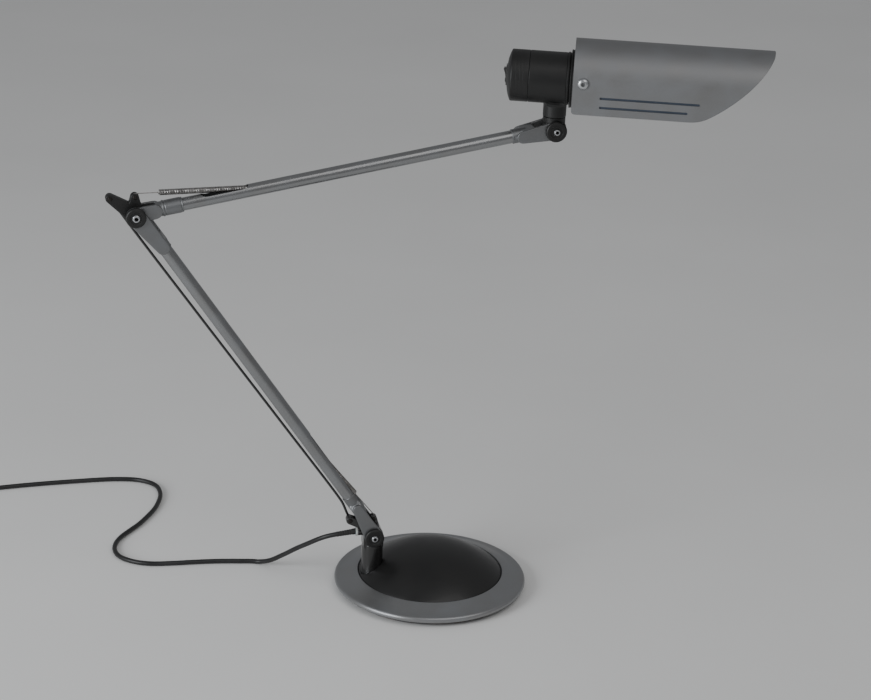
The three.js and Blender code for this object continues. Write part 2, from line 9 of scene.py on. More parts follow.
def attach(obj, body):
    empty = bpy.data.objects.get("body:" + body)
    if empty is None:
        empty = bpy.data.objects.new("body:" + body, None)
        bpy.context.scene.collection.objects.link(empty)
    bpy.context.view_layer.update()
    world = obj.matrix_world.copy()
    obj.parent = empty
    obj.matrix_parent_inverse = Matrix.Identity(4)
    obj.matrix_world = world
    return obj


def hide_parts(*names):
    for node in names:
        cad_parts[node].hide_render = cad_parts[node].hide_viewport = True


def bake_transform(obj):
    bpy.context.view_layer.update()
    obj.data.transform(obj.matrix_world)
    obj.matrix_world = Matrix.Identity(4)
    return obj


# An architect desk lamp. Shapes are drawn in millimetres in their part's own frame, and made in metres.
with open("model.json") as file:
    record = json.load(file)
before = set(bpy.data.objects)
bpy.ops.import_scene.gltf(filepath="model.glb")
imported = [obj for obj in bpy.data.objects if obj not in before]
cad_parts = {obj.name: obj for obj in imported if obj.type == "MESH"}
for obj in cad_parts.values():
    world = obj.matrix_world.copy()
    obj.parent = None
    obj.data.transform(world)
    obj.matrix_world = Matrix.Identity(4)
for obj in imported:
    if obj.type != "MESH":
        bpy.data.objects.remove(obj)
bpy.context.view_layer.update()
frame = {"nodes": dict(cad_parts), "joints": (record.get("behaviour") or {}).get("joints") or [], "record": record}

# ---- driving dimensions, in millimetres and degrees ----
MM = 0.001
TINY = 1e-6
ROUND = 96
STRAIGHT_ANGLE = 165
SHARP_ANGLE = 38
# base and post
BASE_R = 100
DOME_R = 75
DOME_TOP = 45
DOME_SEAM = 16.5
POST_R = 11
# forks and pivots, with what lies across the arm measured from its middle
TONGUE_HALF = 7.7
CHEEK_IN = 8
CHEEK_OUT = 11
CHEEK_R = 9.6
BRIDGE_HALF = 6.4
BRIDGE_LENGTH = 9
SOCKET_R = 7.3
CAP_IN = 11.3
CAP_OUT = 15
# tubes, each with its distances from the lower and the upper pivot
TUBE_R = 6.5
TUBE_BORE = 5.4
TUBE_RINGS = 40
TUBE_DROP = -3.3
LOWER_TUBE = (37.4, 39.4)
UPPER_TUBE = (32.4, 36.4)
# ears and levelling rod
EAR_HALF = 4
EAR_GAP = 0.3
EAR_PIN_HEIGHT = 17.9
EAR_TIP = 17.4
EAR_TIP_R = 4.2
EAR_SLOT_FLOOR = 14.1
ROD_PIN = Vector((-24, 0, 17.2))
ROD_Y = 5.7
ROD_R = 1.35
# springs: the start and end of each slot from the pivot, and of each coil from its hook
HOOK_R = 2.9
ANCHOR_HOOK_R = 2.1
SPRING_R = 3.1
SPRING_WIRE_R = 0.5
SPRING_PITCH = 1.12
SPRING_ANCHOR = 130
SLOT_HALF = 3.4
WIDE_SLOT_HALF = 5
LOWER_SLOT = (30, 134)
UPPER_SLOT = (66, 113)
LOWER_COIL = (34, 106)
UPPER_COIL = (22.7, 109.5)
# head, and the front end and lower edge of each slot in the shade
HEAD_TILT = 1.2
HEAD_YAW = -16.1
HEAD_AXIS = 51.5
HOUSING_R = 25.5
HOUSING_END = -44.7
SHADE_R = 36
SHADE_WALL = 1.2
SHADE_BACK = 16.3
SHADE_CENTRE = 56
SHADE_RIM = 25.7
SHADE_CORNER = 3.5
SHADE_SLOTS = ((140, 42.3), (128.8, 33.1))
SHADE_SLOT_START = 43.2
SHADE_SLOT_HEIGHT = 2.3
SCREW_X = 26.3
SCREW_Z = 56.8
# cord
CORD_R = 2.5
CORD_Z = 2.8


def joint_place(name):
    """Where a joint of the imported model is, in millimetres."""
    joint = next(j for j in frame["joints"] if j["name"] == name)
    return Vector(joint["pos_m"]) / MM


def angle_of(start, end):
    """The angle above level of a line in the XZ plane, in degrees."""
    return math.degrees(math.atan2(end.z - start.z, end.x - start.x))


PIVOT = joint_place("lower_tilt")
ELBOW = joint_place("elbow_tilt")
HEAD_PIVOT = joint_place("head_tilt")
LOWER_ANGLE = angle_of(PIVOT, ELBOW)
UPPER_ANGLE = angle_of(ELBOW, HEAD_PIVOT)
LOWER_LENGTH = (ELBOW - PIVOT).length
UPPER_LENGTH = (HEAD_PIVOT - ELBOW).length


# ---- frames: X along the part, Y across it ----
def turned(degrees, axis):
    return Matrix.Rotation(math.radians(degrees), 4, axis)


def shifted(x=0, y=0, z=0):
    return Matrix.Translation((x, y, z))


def place_at(point, degrees=0):
    """The frame of a part that starts at a point and runs at an angle above level."""
    return Matrix.Translation(point * MM) @ turned(-degrees, "Y")


AT_BASE = Matrix.Identity(4)
AT_POST = place_at(PIVOT)
AT_ELBOW = place_at(ELBOW)
LOWER = place_at(PIVOT, LOWER_ANGLE)
LOWER_TOP = place_at(ELBOW, LOWER_ANGLE + 180)
UPPER = place_at(ELBOW, UPPER_ANGLE)
UPPER_END = place_at(HEAD_PIVOT, UPPER_ANGLE + 180)
KNUCKLE = place_at(HEAD_PIVOT, -HEAD_TILT)
HEAD = KNUCKLE @ turned(HEAD_YAW, "Z")
TO_X = turned(90, "Y")
FROM_X = turned(-90, "Y")
TO_Y = turned(-90, "X")
FROM_Y = turned(90, "X")
LAMP_AXIS = shifted(0, 0, HEAD_AXIS) @ TO_X
# turns a slab's thickness from Y to Z, and its outline from XZ to XY
LAID_FLAT = Matrix(((1, 0, 0, 0), (0, 0, 1, 0), (0, 1, 0, 0), (0, 0, 0, 1)))
# turns a slab's thickness from Y to X, and its outline from XZ to YZ
STOOD_ACROSS = Matrix(((0, 1, 0, 0), (1, 0, 0, 0), (0, 0, 1, 0), (0, 0, 0, 1)))


# ---- outlines ----
def arc(x, z, radius, start, end, steps):
    """Points on an arc, from one angle to another in degrees."""
    angles = [math.radians(start + (end - start) * i / steps) for i in range(steps + 1)]
    return [(x + radius * math.cos(a), z + radius * math.sin(a)) for a in angles]


def rounded(outline, radius, steps=4, keep_axis=False):
    """A closed outline with its corners turned on small curves. Points on the axis can stay sharp."""
    result = []
    count = len(outline)
    for i, corner in enumerate(outline):
        here = Vector(corner)
        before = Vector(outline[i - 1]) - here
        after = Vector(outline[(i + 1) % count]) - here
        short = min(before.length, after.length) < TINY
        straight = short or before.angle(after) > math.radians(STRAIGHT_ANGLE)
        if straight or (keep_axis and abs(corner[0]) < TINY):
            result.append(corner)
            continue
        reach = min(radius, 0.45 * before.length, 0.45 * after.length)
        first = here + before.normalized() * reach
        last = here + after.normalized() * reach
        for step in range(steps + 1):
            t = step / steps
            point = first * (1 - t) ** 2 + here * 2 * t * (1 - t) + last * t**2
            result.append((point.x, point.y))
    return result


def link(x0, z0, r0, x1, z1, r1, steps=20):
    """The outline round two circles, joined by their outer tangents."""
    along = math.degrees(math.atan2(z1 - z0, x1 - x0))
    spread = math.degrees(math.acos((r0 - r1) / math.hypot(x1 - x0, z1 - z0)))
    return arc(x0, z0, r0, along + spread, along - spread + 360, steps) + arc(
        x1, z1, r1, along - spread, along + spread, steps
    )


def rectangle(x0, x1, z0, z1, radius=0.0):
    corners = [(x0, z0), (x1, z0), (x1, z1), (x0, z1)]
    return rounded(corners, radius) if radius else corners


def smooth_line(points, spacing):
    """A centripetal Catmull-Rom curve through the points, with points about spacing apart."""
    points = [Vector(p) for p in points]
    points = [2 * points[0] - points[1], *points, 2 * points[-1] - points[-2]]
    line = []
    for a, b, c, d in zip(points, points[1:], points[2:], points[3:]):
        t1 = (b - a).length ** 0.5
        t2 = t1 + (c - b).length ** 0.5
        t3 = t2 + (d - c).length ** 0.5
        steps = max(2, round((c - b).length / spacing))
        for step in range(steps):
            t = t1 + (t2 - t1) * step / steps
            ab = a.lerp(b, t / t1)
            bc = b.lerp(c, (t - t1) / (t2 - t1))
            cd = c.lerp(d, (t - t2) / (t3 - t2))
            abc = ab.lerp(bc, t / t2)
            bcd = bc.lerp(cd, (t - t1) / (t3 - t1))
            line.append(abc.lerp(bcd, (t - t1) / (t2 - t1)))
    return line + [points[-2]]


# ---- closed parts, each a list of points and a list of faces ----
def moved(part, matrix):
    points, faces = part
    return [matrix @ p for p in points], faces


def lathe(profile, segments=ROUND):
    """A closed profile of (radius, height) points turned about Z."""
    count = len(profile)
    points = []
    faces = []
    for step in range(segments):
        angle = 2 * math.pi * step / segments
        points += [Vector((r * math.cos(angle), r * math.sin(angle), h)) for r, h in profile]
        here, there = step * count, (step + 1) % segments * count
        for i in range(count):
            after = (i + 1) % count
            faces.append((here + i, there + i, there + after, here + after))
    return points, faces


def rod(radius, low, high, edge=0.3, segments=48):
    """A turned rod along Z with rounded ends."""
    return lathe(rounded([(0, low), (radius, low), (radius, high), (0, high)], edge, 4, True), segments)


def ring_faces(rings, count):
    """The faces of a closed tube made of rings of points, with a face on each end."""
    total = rings * count
    faces = [tuple(range(count)), tuple(range(total - 1, total - count - 1, -1))]
    for start in range(0, total - count, count):
        for i in range(count):
            after = (i + 1) % count
            faces.append((start + i, start + after, start + count + after, start + count + i))
    return faces


def slab(outline, near, far, edge, steps=3):
    """An outline drawn in X and Z, made thick along Y, with rounded edges."""
    count = len(outline)
    area = sum(a[0] * b[1] - b[0] * a[1] for a, b in zip(outline, outline[1:] + outline[:1]))
    flat = [Vector(p) for p in (outline if area > 0 else outline[::-1])]
    inward = []
    for i, p in enumerate(flat):
        a = (p - flat[i - 1]).normalized()
        b = (flat[(i + 1) % count] - p).normalized()
        middle = Vector((-a.y - b.y, a.x + b.x))
        inward.append(middle / max(0.5, middle.length_squared / 2))
    rings = []
    for step in range(steps + 1):
        turn = math.pi / 2 * step / steps
        rings.append((edge * (1 - math.sin(turn)), near + edge * (1 - math.cos(turn))))
    rings += [(inset, near + far - y) for inset, y in reversed(rings)]
    points = [Vector((p.x + n.x * d, y, p.y + n.y * d)) for d, y in rings for p, n in zip(flat, inward)]
    return points, ring_faces(len(rings), count)


def sweep(line, radius, sides):
    """A round tube along a line, closed at both ends."""
    points = []
    ahead = (line[1] - line[0]).normalized()
    across = ahead.orthogonal().normalized()
    for i, centre in enumerate(line):
        new = (line[min(i + 1, len(line) - 1)] - line[max(i - 1, 0)]).normalized()
        across = ahead.rotation_difference(new) @ across
        across = (across - new * across.dot(new)).normalized()
        ahead = new
        up = ahead.cross(across)
        for side in range(sides):
            angle = 2 * math.pi * side / sides
            points.append(centre + (across * math.cos(angle) + up * math.sin(angle)) * radius)
    return points, ring_faces(len(line), sides)


# ---- pieces ----
def add_object(name, data):
    obj = bpy.data.objects.new(name, data)
    bpy.context.scene.collection.objects.link(obj)
    return obj


def mesh_object(name, parts, place=AT_BASE):
    """One object from closed parts, in metres, in the frame of its part."""
    points = []
    faces = []
    for part_points, part_faces in parts:
        start = len(points)
        points += [p * MM for p in part_points]
        faces += [tuple(start + i for i in face) for face in part_faces]
    mesh = bpy.data.meshes.new(name)
    mesh.from_pydata(points, [], faces)
    shape = bmesh.new()
    shape.from_mesh(mesh)
    bmesh.ops.remove_doubles(shape, verts=shape.verts, dist=1e-7)
    bmesh.ops.recalc_face_normals(shape, faces=shape.faces)
    shape.to_mesh(mesh)
    shape.free()
    obj = add_object(name, mesh)
    obj.matrix_world = place
    return obj


def modify(obj, kind, **settings):
    """Adds a modifier and applies it."""
    modifier = obj.modifiers.new(kind, kind)
    for key, value in settings.items():
        setattr(modifier, key, value)
    bpy.context.view_layer.update()
    shaped = obj.evaluated_get(bpy.context.evaluated_depsgraph_get())
    mesh = bpy.data.meshes.new_from_object(shaped)
    obj.modifiers.clear()
    mesh.name = obj.name
    obj.data = mesh


def carve(obj, tools, edge=0.0, angle=50):
    """Cuts closed tools out of an object, and may round all its sharp edges after that."""
    tool = mesh_object(obj.name + "_tool", tools, obj.matrix_world)
    modify(obj, "BOOLEAN", operation="DIFFERENCE", solver="MANIFOLD", object=tool)
    bpy.data.objects.remove(tool)
    if edge:
        modify(
            obj, "BEVEL", width=edge * MM, segments=2, limit_method="ANGLE",
            angle_limit=math.radians(angle), use_clamp_overlap=True,
        )


def cast(obj, tools=(), skin=0.42):
    """Melts overlapping parts into one casting with soft inner corners, with the tools cut out of it."""
    modify(obj, "REMESH", mode="VOXEL", voxel_size=skin * MM)
    if tools:
        carve(obj, tools)
        modify(obj, "REMESH", mode="VOXEL", voxel_size=skin * MM)
    modify(obj, "SMOOTH", factor=0.5, iterations=9)
    modify(obj, "DECIMATE", ratio=0.3)


def add_parts(obj, parts):
    """Puts more closed parts into an object's mesh, such as the turned faces of a casting."""
    extra = mesh_object(obj.name + "_extra", parts)
    shape = bmesh.new()
    shape.from_mesh(obj.data)
    shape.from_mesh(extra.data)
    shape.to_mesh(obj.data)
    shape.free()
    bpy.data.objects.remove(extra)


BODY_OF = {node: body for body, nodes in frame["record"]["behaviour"]["bodies"].items() for node in nodes}


def finish(obj, material, *nodes, ride=True, stands_for=True):
    """Gives a piece its material and the body of its CAD nodes, and lets it stand for them."""
    obj.data.materials.clear()
    obj.data.materials.append(material)
    obj.data.shade_smooth()
    obj.data.set_sharp_from_angle(angle=math.radians(SHARP_ANGLE))
    normals = obj.modifiers.new("Normals", "WEIGHTED_NORMAL")
    normals.keep_sharp = True
    if ride:
        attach(obj, BODY_OF[nodes[0]])
    if stands_for:
        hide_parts(*nodes)


def add_piece(name, parts, place, material, *nodes):
    """A piece that is finished as it is drawn."""
    finish(mesh_object(name, parts, place), material, *nodes)


# ---- camera: at the height of a seated viewer, in front and a little to the left ----
CAMERA_AT = Vector((-0.5088, -2.3487, 1.2368))
CAMERA_AIM = Vector((-0.001, 0, 0.265))
CAMERA_ROLL = 1.75
CAMERA_LENS = 105.8


def add_camera():
    data = bpy.data.cameras.new("camera")
    data.lens = CAMERA_LENS
    data.sensor_width = 36
    camera = add_object("camera", data)
    aim = (CAMERA_AIM - CAMERA_AT).to_track_quat("-Z", "Y").to_matrix().to_4x4()
    camera.matrix_world = Matrix.Translation(CAMERA_AT) @ aim @ turned(CAMERA_ROLL, "Z")
    bpy.context.scene.camera = camera


# ---- materials ----
def add_node(tree, kind, inputs=(), **settings):
    """A shader node with its settings, and with values or links on its inputs."""
    node = tree.nodes.new("ShaderNode" + kind)
    for key, value in settings.items():
        setattr(node, key, value)
    for key, value in dict(inputs).items():
        if isinstance(value, bpy.types.NodeSocket):
            tree.links.new(value, node.inputs[key])
        else:
            node.inputs[key].default_value = value
    return node


def new_material(name, **constants):
    """A material, its node tree and its shader, with what is the same all over set on the shader."""
    material = bpy.data.materials.new(name)
    material.use_nodes = True
    tree = material.node_tree
    shader = tree.nodes["Principled BSDF"]
    for key, value in constants.items():
        shader.inputs[key.replace("_", " ")].default_value = value
    return material, tree, shader


def noise(tree, scale, detail, stretch=(1, 1, 1)):
    """Noise over the piece's own coordinates, in features per metre."""
    place = add_node(tree, "TexCoord").outputs["Object"]
    mapped = add_node(tree, "Mapping", {"Vector": place, "Scale": stretch})
    inputs = {"Vector": mapped.outputs[0], "Scale": scale, "Detail": detail}
    return add_node(tree, "TexNoise", inputs).outputs["Fac"]


def ramp(tree, value, low, high, start=0.3, end=0.7):
    """A value spread from low to high, as it goes from start to end."""
    inputs = {"Value": value, "From Min": start, "From Max": end, "To Min": low, "To Max": high}
    return add_node(tree, "MapRange", inputs).outputs[0]


def mixed(tree, share, first, second):
    """Two colours mixed by a share."""
    first, second = (c if isinstance(c, bpy.types.NodeSocket) else (*c, 1) for c in (first, second))
    return add_node(tree, "Mix", {0: share, 6: first, 7: second}, data_type="RGBA").outputs[2]


def edge_share(tree, start=0.53, end=0.63):
    """How sharp an outer edge is where a point lies; with end below start, how deep an inner one is."""
    geometry = add_node(tree, "NewGeometry")
    return ramp(tree, geometry.outputs["Pointiness"], 0, 1, start, end)


def bump(tree, shader, height, distance, strength=1.0):
    node = add_node(tree, "Bump", {"Height": height, "Distance": distance * MM, "Strength": strength})
    tree.links.new(node.outputs[0], shader.inputs["Normal"])


def dress(tree, shader, colour, rough):
    """Puts a colour and a roughness on a shader."""
    tree.links.new(colour, shader.inputs["Base Color"])
    tree.links.new(rough, shader.inputs["Roughness"])


def clouded(name, scale, detail, colours, rough, **constants):
    """A material whose colour and roughness drift between two values each, in soft clouds."""
    material, tree, shader = new_material(name, **constants)
    clouds = noise(tree, scale, detail)
    dress(tree, shader, mixed(tree, ramp(tree, clouds, 0, 1), *colours), ramp(tree, clouds, *rough))
    return material


def satin_silver(name, tone, rough, grain, stretch=(1, 1, 1)):
    """Silver-grey satin metal: a fine grain and cloudy handling marks."""
    material, tree, shader = new_material(name, Metallic=0.85)
    clouds = noise(tree, 38, 4)
    fine = noise(tree, grain, 2, stretch)
    base = mixed(tree, ramp(tree, clouds, 0, 1), [tone * 0.9] * 3, [tone * 0.97, tone, tone * 1.04])
    speckled = mixed(tree, ramp(tree, fine, 0, 0.3), base, [tone * 1.3] * 3)
    dress(tree, shader, speckled, ramp(tree, clouds, rough - 0.05, rough + 0.07))
    bump(tree, shader, fine, 0.03, 0.35)
    return material


def painted_silver():
    """Metallic paint on the base ring, with a faint orange peel."""
    return satin_silver("painted_silver", 0.3, 0.38, 1900)


def cast_silver():
    return satin_silver("cast_silver", 0.2, 0.4, 1400)


def drawn_tube():
    """Drawn aluminium with fine lines along the tube."""
    return satin_silver("drawn_tube", 0.27, 0.24, 1500, (0.02, 1, 1))


def shade_silver():
    """Painted sheet metal with a fine grain, outside and in."""
    return satin_silver("shade_silver", 0.25, 0.53, 2600)


def moulded_black(name, tone, rough, grain, depth, coat=0.0):
    """Black plastic or enamel: a moulded grain, dusty clouds and lightly rubbed edges."""
    material, tree, shader = new_material(name, Coat_Weight=coat, Coat_Roughness=0.12)
    clouds = noise(tree, 24, 5)
    fine = noise(tree, grain, 2)
    dust = [tone * 1.5, tone * 1.45, tone * 1.4]
    dusty = mixed(tree, ramp(tree, clouds, 0, 1, 0.35, 0.75), [tone] * 3, dust)
    rubbed = mixed(tree, edge_share(tree), dusty, [tone * 2] * 3)
    dress(tree, shader, rubbed, ramp(tree, clouds, rough - 0.05, rough + 0.08))
    bump(tree, shader, fine, depth, 0.5)
    return material


def matte_plastic():
    return moulded_black("matte_plastic", 0.006, 0.46, 1500, 0.05)


def dome_plastic():
    """The base cover: a satin black with a soft sheen."""
    return moulded_black("dome_plastic", 0.006, 0.42, 2200, 0.03, 0.1)


def gloss_enamel():
    return moulded_black("gloss_enamel", 0.008, 0.2, 500, 0.02, 0.5)


def cord_sheath():
    """Smooth black sheath, a little scuffed."""
    material, tree, shader = new_material("cord_sheath")
    clouds = noise(tree, 60, 3)
    fine = noise(tree, 1700, 2)
    colour = mixed(tree, ramp(tree, clouds, 0, 1), [0.009] * 3, [0.018, 0.018, 0.019])
    dress(tree, shader, colour, ramp(tree, clouds, 0.36, 0.5))
    bump(tree, shader, fine, 0.03, 0.4)
    return material


def painted_slot_shade():
    """Painted shade: dark slate-blue for the shaded inside of the shade, seen through the cooling slots."""
    colours = (0.04, 0.055, 0.08), (0.055, 0.07, 0.098)
    return clouded("painted_slot_shade", 80, 3, colours, (0.4, 0.52))


def pad_rubber():
    return moulded_black("pad_rubber", 0.018, 0.82, 900, 0.12)


def bright_steel():
    """Plated steel with a fine grain along the fastener's axis, and painted shade darkening its socket."""
    material, tree, shader = new_material("bright_steel", Metallic=1.0)
    fine = noise(tree, 2600, 2, (1, 0.1, 1))
    clouds = noise(tree, 160, 3)
    plated = mixed(tree, ramp(tree, clouds, 0, 1), [0.42, 0.43, 0.45], [0.6, 0.61, 0.62])
    # painted shade: hollows such as the socket are darkened nearly to black
    colour = mixed(tree, edge_share(tree, 0.49, 0.42), plated, [0.012, 0.011, 0.01])
    dress(tree, shader, colour, ramp(tree, fine, 0.22, 0.38))
    bump(tree, shader, fine, 0.02, 0.3)
    return material


def blackened_steel():
    """Oil-blackened steel pins."""
    colours = (0.016, 0.015, 0.014), (0.05, 0.045, 0.042)
    return clouded("blackened_steel", 240, 3, colours, (0.28, 0.42), Metallic=0.8)


def spring_wire():
    """Oiled spring wire."""
    colours = (0.2, 0.19, 0.185), (0.36, 0.35, 0.34)
    return clouded("spring_wire", 300, 3, colours, (0.24, 0.4), Metallic=1.0)


def raw_iron():
    """Sand-cast iron with a rough skin and a little rust."""
    material, tree, shader = new_material("raw_iron", Metallic=0.7)
    clouds = noise(tree, 45, 6)
    fine = noise(tree, 700, 5)
    colour = mixed(tree, ramp(tree, clouds, 0, 1, 0.45, 0.7), [0.06, 0.06, 0.062], [0.12, 0.075, 0.05])
    dress(tree, shader, colour, ramp(tree, fine, 0.6, 0.85))
    bump(tree, shader, fine, 0.25)
    return material


def pale_nylon():
    colours = (0.5, 0.51, 0.5), (0.62, 0.62, 0.6)
    return clouded("pale_nylon", 200, 3, colours, (0.38, 0.5), Subsurface_Weight=0.1)


def plated_brass(name, low, high):
    """Plated contact metal, a little tarnished."""
    return clouded(name, 130, 5, (low, high), (0.22, 0.42), Metallic=1.0)


def glazed_porcelain():
    colours = (0.72, 0.71, 0.67), (0.8, 0.79, 0.76)
    glaze = {"Coat_Weight": 0.6, "Coat_Roughness": 0.08}
    return clouded("glazed_porcelain", 90, 4, colours, (0.25, 0.4), **glaze)


def opal_glass():
    """White opal glass, with the powder coat showing unevenly under a glossy face."""
    colours = (0.82, 0.82, 0.8), (0.9, 0.9, 0.89)
    gloss = {"Coat_Weight": 0.8, "Coat_Roughness": 0.04, "Subsurface_Weight": 0.3}
    return clouded("opal_glass", 70, 5, colours, (0.15, 0.28), **gloss)


def pale_floor():
    return clouded("pale_floor", 3, 5, ((0.83, 0.83, 0.82), (0.86, 0.86, 0.85)), (0.55, 0.65))


# ---- free cord: down from its relief, along the table and into its coil ----
RELIEF_START = Vector((-16.7, 0, 3.4))
RELIEF_ALONG = Vector((-0.968, 0.165, -0.19)).normalized()
RELIEF_LENGTH = 21
CORD_ROUTE = [
    (-0.1075, 0.0058, 0.0604), (-0.116, 0.0103, 0.0556), (-0.125, 0.0185, 0.0475), (-0.136, 0.031, 0.0361),
    (-0.1482, 0.0464, 0.0216), (-0.161, 0.061, 0.0084), (-0.172, 0.071, 0.0028), (-0.193, 0.0755, 0.0028),
    (-0.217, 0.0787, 0.0028), (-0.241, 0.08, 0.0028), (-0.262, 0.0806, 0.0028), (-0.285, 0.083, 0.0028),
    (-0.302, 0.0905, 0.0028), (-0.315, 0.104, 0.0028), (-0.319, 0.12, 0.0028), (-0.3166, 0.136, 0.0028),
    (-0.3095, 0.151, 0.0028), (-0.299, 0.165, 0.0028), (-0.288, 0.179, 0.0028), (-0.2775, 0.196, 0.0028),
    (-0.2678, 0.214, 0.0028), (-0.2605, 0.234, 0.0028), (-0.2565, 0.256, 0.0028), (-0.26, 0.277, 0.0028),
    (-0.275, 0.292, 0.0028), (-0.3, 0.299, 0.0028), (-0.35, 0.3, 0.0028), (-0.41, 0.297, 0.0028),
    (-0.47, 0.29, 0.0028), (-0.504, 0.2852, 0.0028),
]
COIL_CENTRE = Vector((-540, 318, 0))
COIL_OUTER = 32.5
COIL_STEP = 5
COIL_TURNS = 5.25
COIL_STEPS_A_TURN = 48
# from which turn to which the coil moves in or out, and by how much
COIL_SHIFTS = (
    (0.5, 1, -COIL_STEP), (1.5, 2, -COIL_STEP), (2.6, 3.15, COIL_STEP), (3.6, 4.15, COIL_STEP),
    (4.6, 5.15, COIL_STEP), (5, 5.25, 0.8),
)
# from which turn to which it climbs on top of itself
COIL_RISE = (2.2, 2.55)
# how much the tie's foot lifts the coil, and over how many degrees to each side of it
TIE_LIFT = 1.3
TIE_SPREAD = 40


def ease(value, start, end):
    """From 0 to 1 with a soft start and end, as a value goes from start to end."""
    t = max(0.0, min(1.0, (value - start) / (end - start)))
    return t * t * (3 - 2 * t)


def coil_points():
    """Turns wound inwards on the table, then outwards on top of them, and out towards the plug."""
    points = []
    for step in range(1, round(COIL_TURNS * COIL_STEPS_A_TURN) + 1):
        turn = step / COIL_STEPS_A_TURN
        radius = COIL_OUTER + sum(by * ease(turn, start, end) for start, end, by in COIL_SHIFTS)
        angle = -90 - 360 * turn
        from_tie = (angle + 180) % 360 - 180
        over_tie = TIE_LIFT * ease(TIE_SPREAD - abs(from_tie), 0, TIE_SPREAD)
        lift = over_tie + COIL_STEP * ease(turn, *COIL_RISE)
        across = radius * math.cos(math.radians(angle))
        up = radius * math.sin(math.radians(angle))
        points.append(COIL_CENTRE + Vector((across, up, CORD_Z + lift)))
    return points


def add_cord(sheath):
    relief_tip = PIVOT + RELIEF_START + RELIEF_ALONG * RELIEF_LENGTH
    inside = relief_tip - RELIEF_ALONG * 6
    route = [Vector(p) / MM for p in CORD_ROUTE]
    to_plug = [Vector((-578.6, 332, 7.4)), Vector((-578.9, 343, 7)), Vector((-579, 352, 6.9))]
    line = smooth_line([inside, relief_tip, *route, *coil_points(), *to_plug], 3)
    line = [Vector((p.x, p.y, max(p.z, CORD_Z))) for p in line]
    cord = mesh_object("mains_cord", [sweep(line, CORD_R, 14)])
    finish(cord, sheath, "cord", "cord_coil", "plug_lead", ride=False)
    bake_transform(cord)


PLUG_AT = Vector((-579, 352.4, 0))
PLUG_THICK = 13.2
PIN_HALF_GAP = 9.5
PIN_Z = 6.9
PIN_TIP = 53


def add_plug(plastic, contact):
    """A flat two-pin plug with finger ribs, a tapered tail and sleeved pins."""
    outline = rounded([(-7, 0), (7, 0), (11.5, 14), (12.8, 34), (-12.8, 34), (-11.5, 14)], 5, 5)
    parts = [moved(slab(outline, 0.3, 0.3 + PLUG_THICK, 3, 5), LAID_FLAT)]
    for step in range(5):
        y = 12 + 4 * step
        half = 8.2 - 0.3 * step
        parts.append(moved(slab(rectangle(-half, half, y - 0.8, y + 0.8, 0.7), 13, 14, 0.4), LAID_FLAT))
    tail = rounded([(0, -10), (3.1, -10), (4.6, 3), (0, 3)], 0.6, 4, True)
    parts.append(moved(lathe(tail, 40), shifted(0, 0, PIN_Z) @ TO_Y))
    for side in (-1, 1):
        parts.append(moved(rod(2.05, 33, 43.5), shifted(side * PIN_HALF_GAP, 0, PIN_Z) @ TO_Y))
    place = Matrix.Translation(PLUG_AT * MM)
    add_piece("plug_shell", parts, place, plastic, "plug_body")
    for label, side in (("left", -1), ("right", 1)):
        tip = moved(rod(1.85, 34.3, PIN_TIP, 1.2), shifted(side * PIN_HALF_GAP, 0, PIN_Z) @ TO_Y)
        add_piece(f"plug_pin_{label}_turned", [tip], place, contact, f"plug_pin_{label}")


def add_tie(plastic):
    band = slab(rectangle(18.5, 37.6, 0.3, 12.9, 2), -3, 3, 0.2)
    strap = mesh_object("coil_strap", [band], Matrix.Translation(COIL_CENTRE * MM))
    carve(strap, [slab(rectangle(19.6, 36.6, 1.2, 12, 1.2), -4, 4, 0.1)])
    add_parts(strap, [moved(slab(rectangle(21, 30, -2.4, 2.4, 1.5), 12.8, 13.6, 0.3), LAID_FLAT)])
    finish(strap, plastic, "cord_tie")


# ---- base ----
def add_flange(paint):
    lip = arc(BASE_R - 3.4, 8.2, 3.4, 75, -100, 14)
    inner = [(DOME_R + 0.4, 13.6), (DOME_R + 0.4, 16.7), (DOME_R + 0.9, 17.2), (DOME_R + 1.8, 17.25)]
    profile = [*inner, (85, 14.6), (92, 12.1), *lip, (95.5, 4.9), (78, 12.6)]
    add_piece("base_ring", [lathe(profile, 180)], AT_BASE, paint, "base_flange")


def add_dome(plastic):
    rise = DOME_TOP - DOME_SEAM
    ball = (DOME_R**2 + rise**2) / (2 * rise)
    steps = 32
    radii = [(DOME_R - 0.5) * i / steps for i in range(steps + 1)]
    outer = [(r, DOME_TOP - ball + math.sqrt(ball**2 - r**2)) for r in radii]
    skirt = [(DOME_R - 0.1, DOME_SEAM - 0.25), (DOME_R, DOME_SEAM - 0.8), (DOME_R, 12), (DOME_R - 2.5, 12)]
    inner = [(r * 0.96, z - 2.6) for r, z in reversed(outer[::4])]
    dome = mesh_object("base_cover", [lathe(outer + skirt + inner, 144)])
    carve(dome, [moved(rod(POST_R + 0.4, 0, 60, 0.1, 96), shifted(PIVOT.x))], 0.35)
    finish(dome, plastic, "base_dome")


# ---- post and its ears ----
def ears(root_x, root_z, root_r):
    """One ear above the pivot for the spring, and one behind it for the levelling rod."""
    spring = slab(link(0, 0, 8.5, 0, EAR_TIP, EAR_TIP_R), -EAR_HALF, EAR_HALF, 0.7)
    lever = slab(link(root_x, root_z, root_r, ROD_PIN.x, ROD_PIN.z, 4.3), -EAR_HALF, EAR_HALF, 0.7)
    return [spring, lever]


def ear_slot():
    """The slot that the spring's hook swings in."""
    return slab(rectangle(-6, 6, EAR_SLOT_FLOOR, EAR_SLOT_FLOOR + 10, 0.5), -1, 1, 0.1)


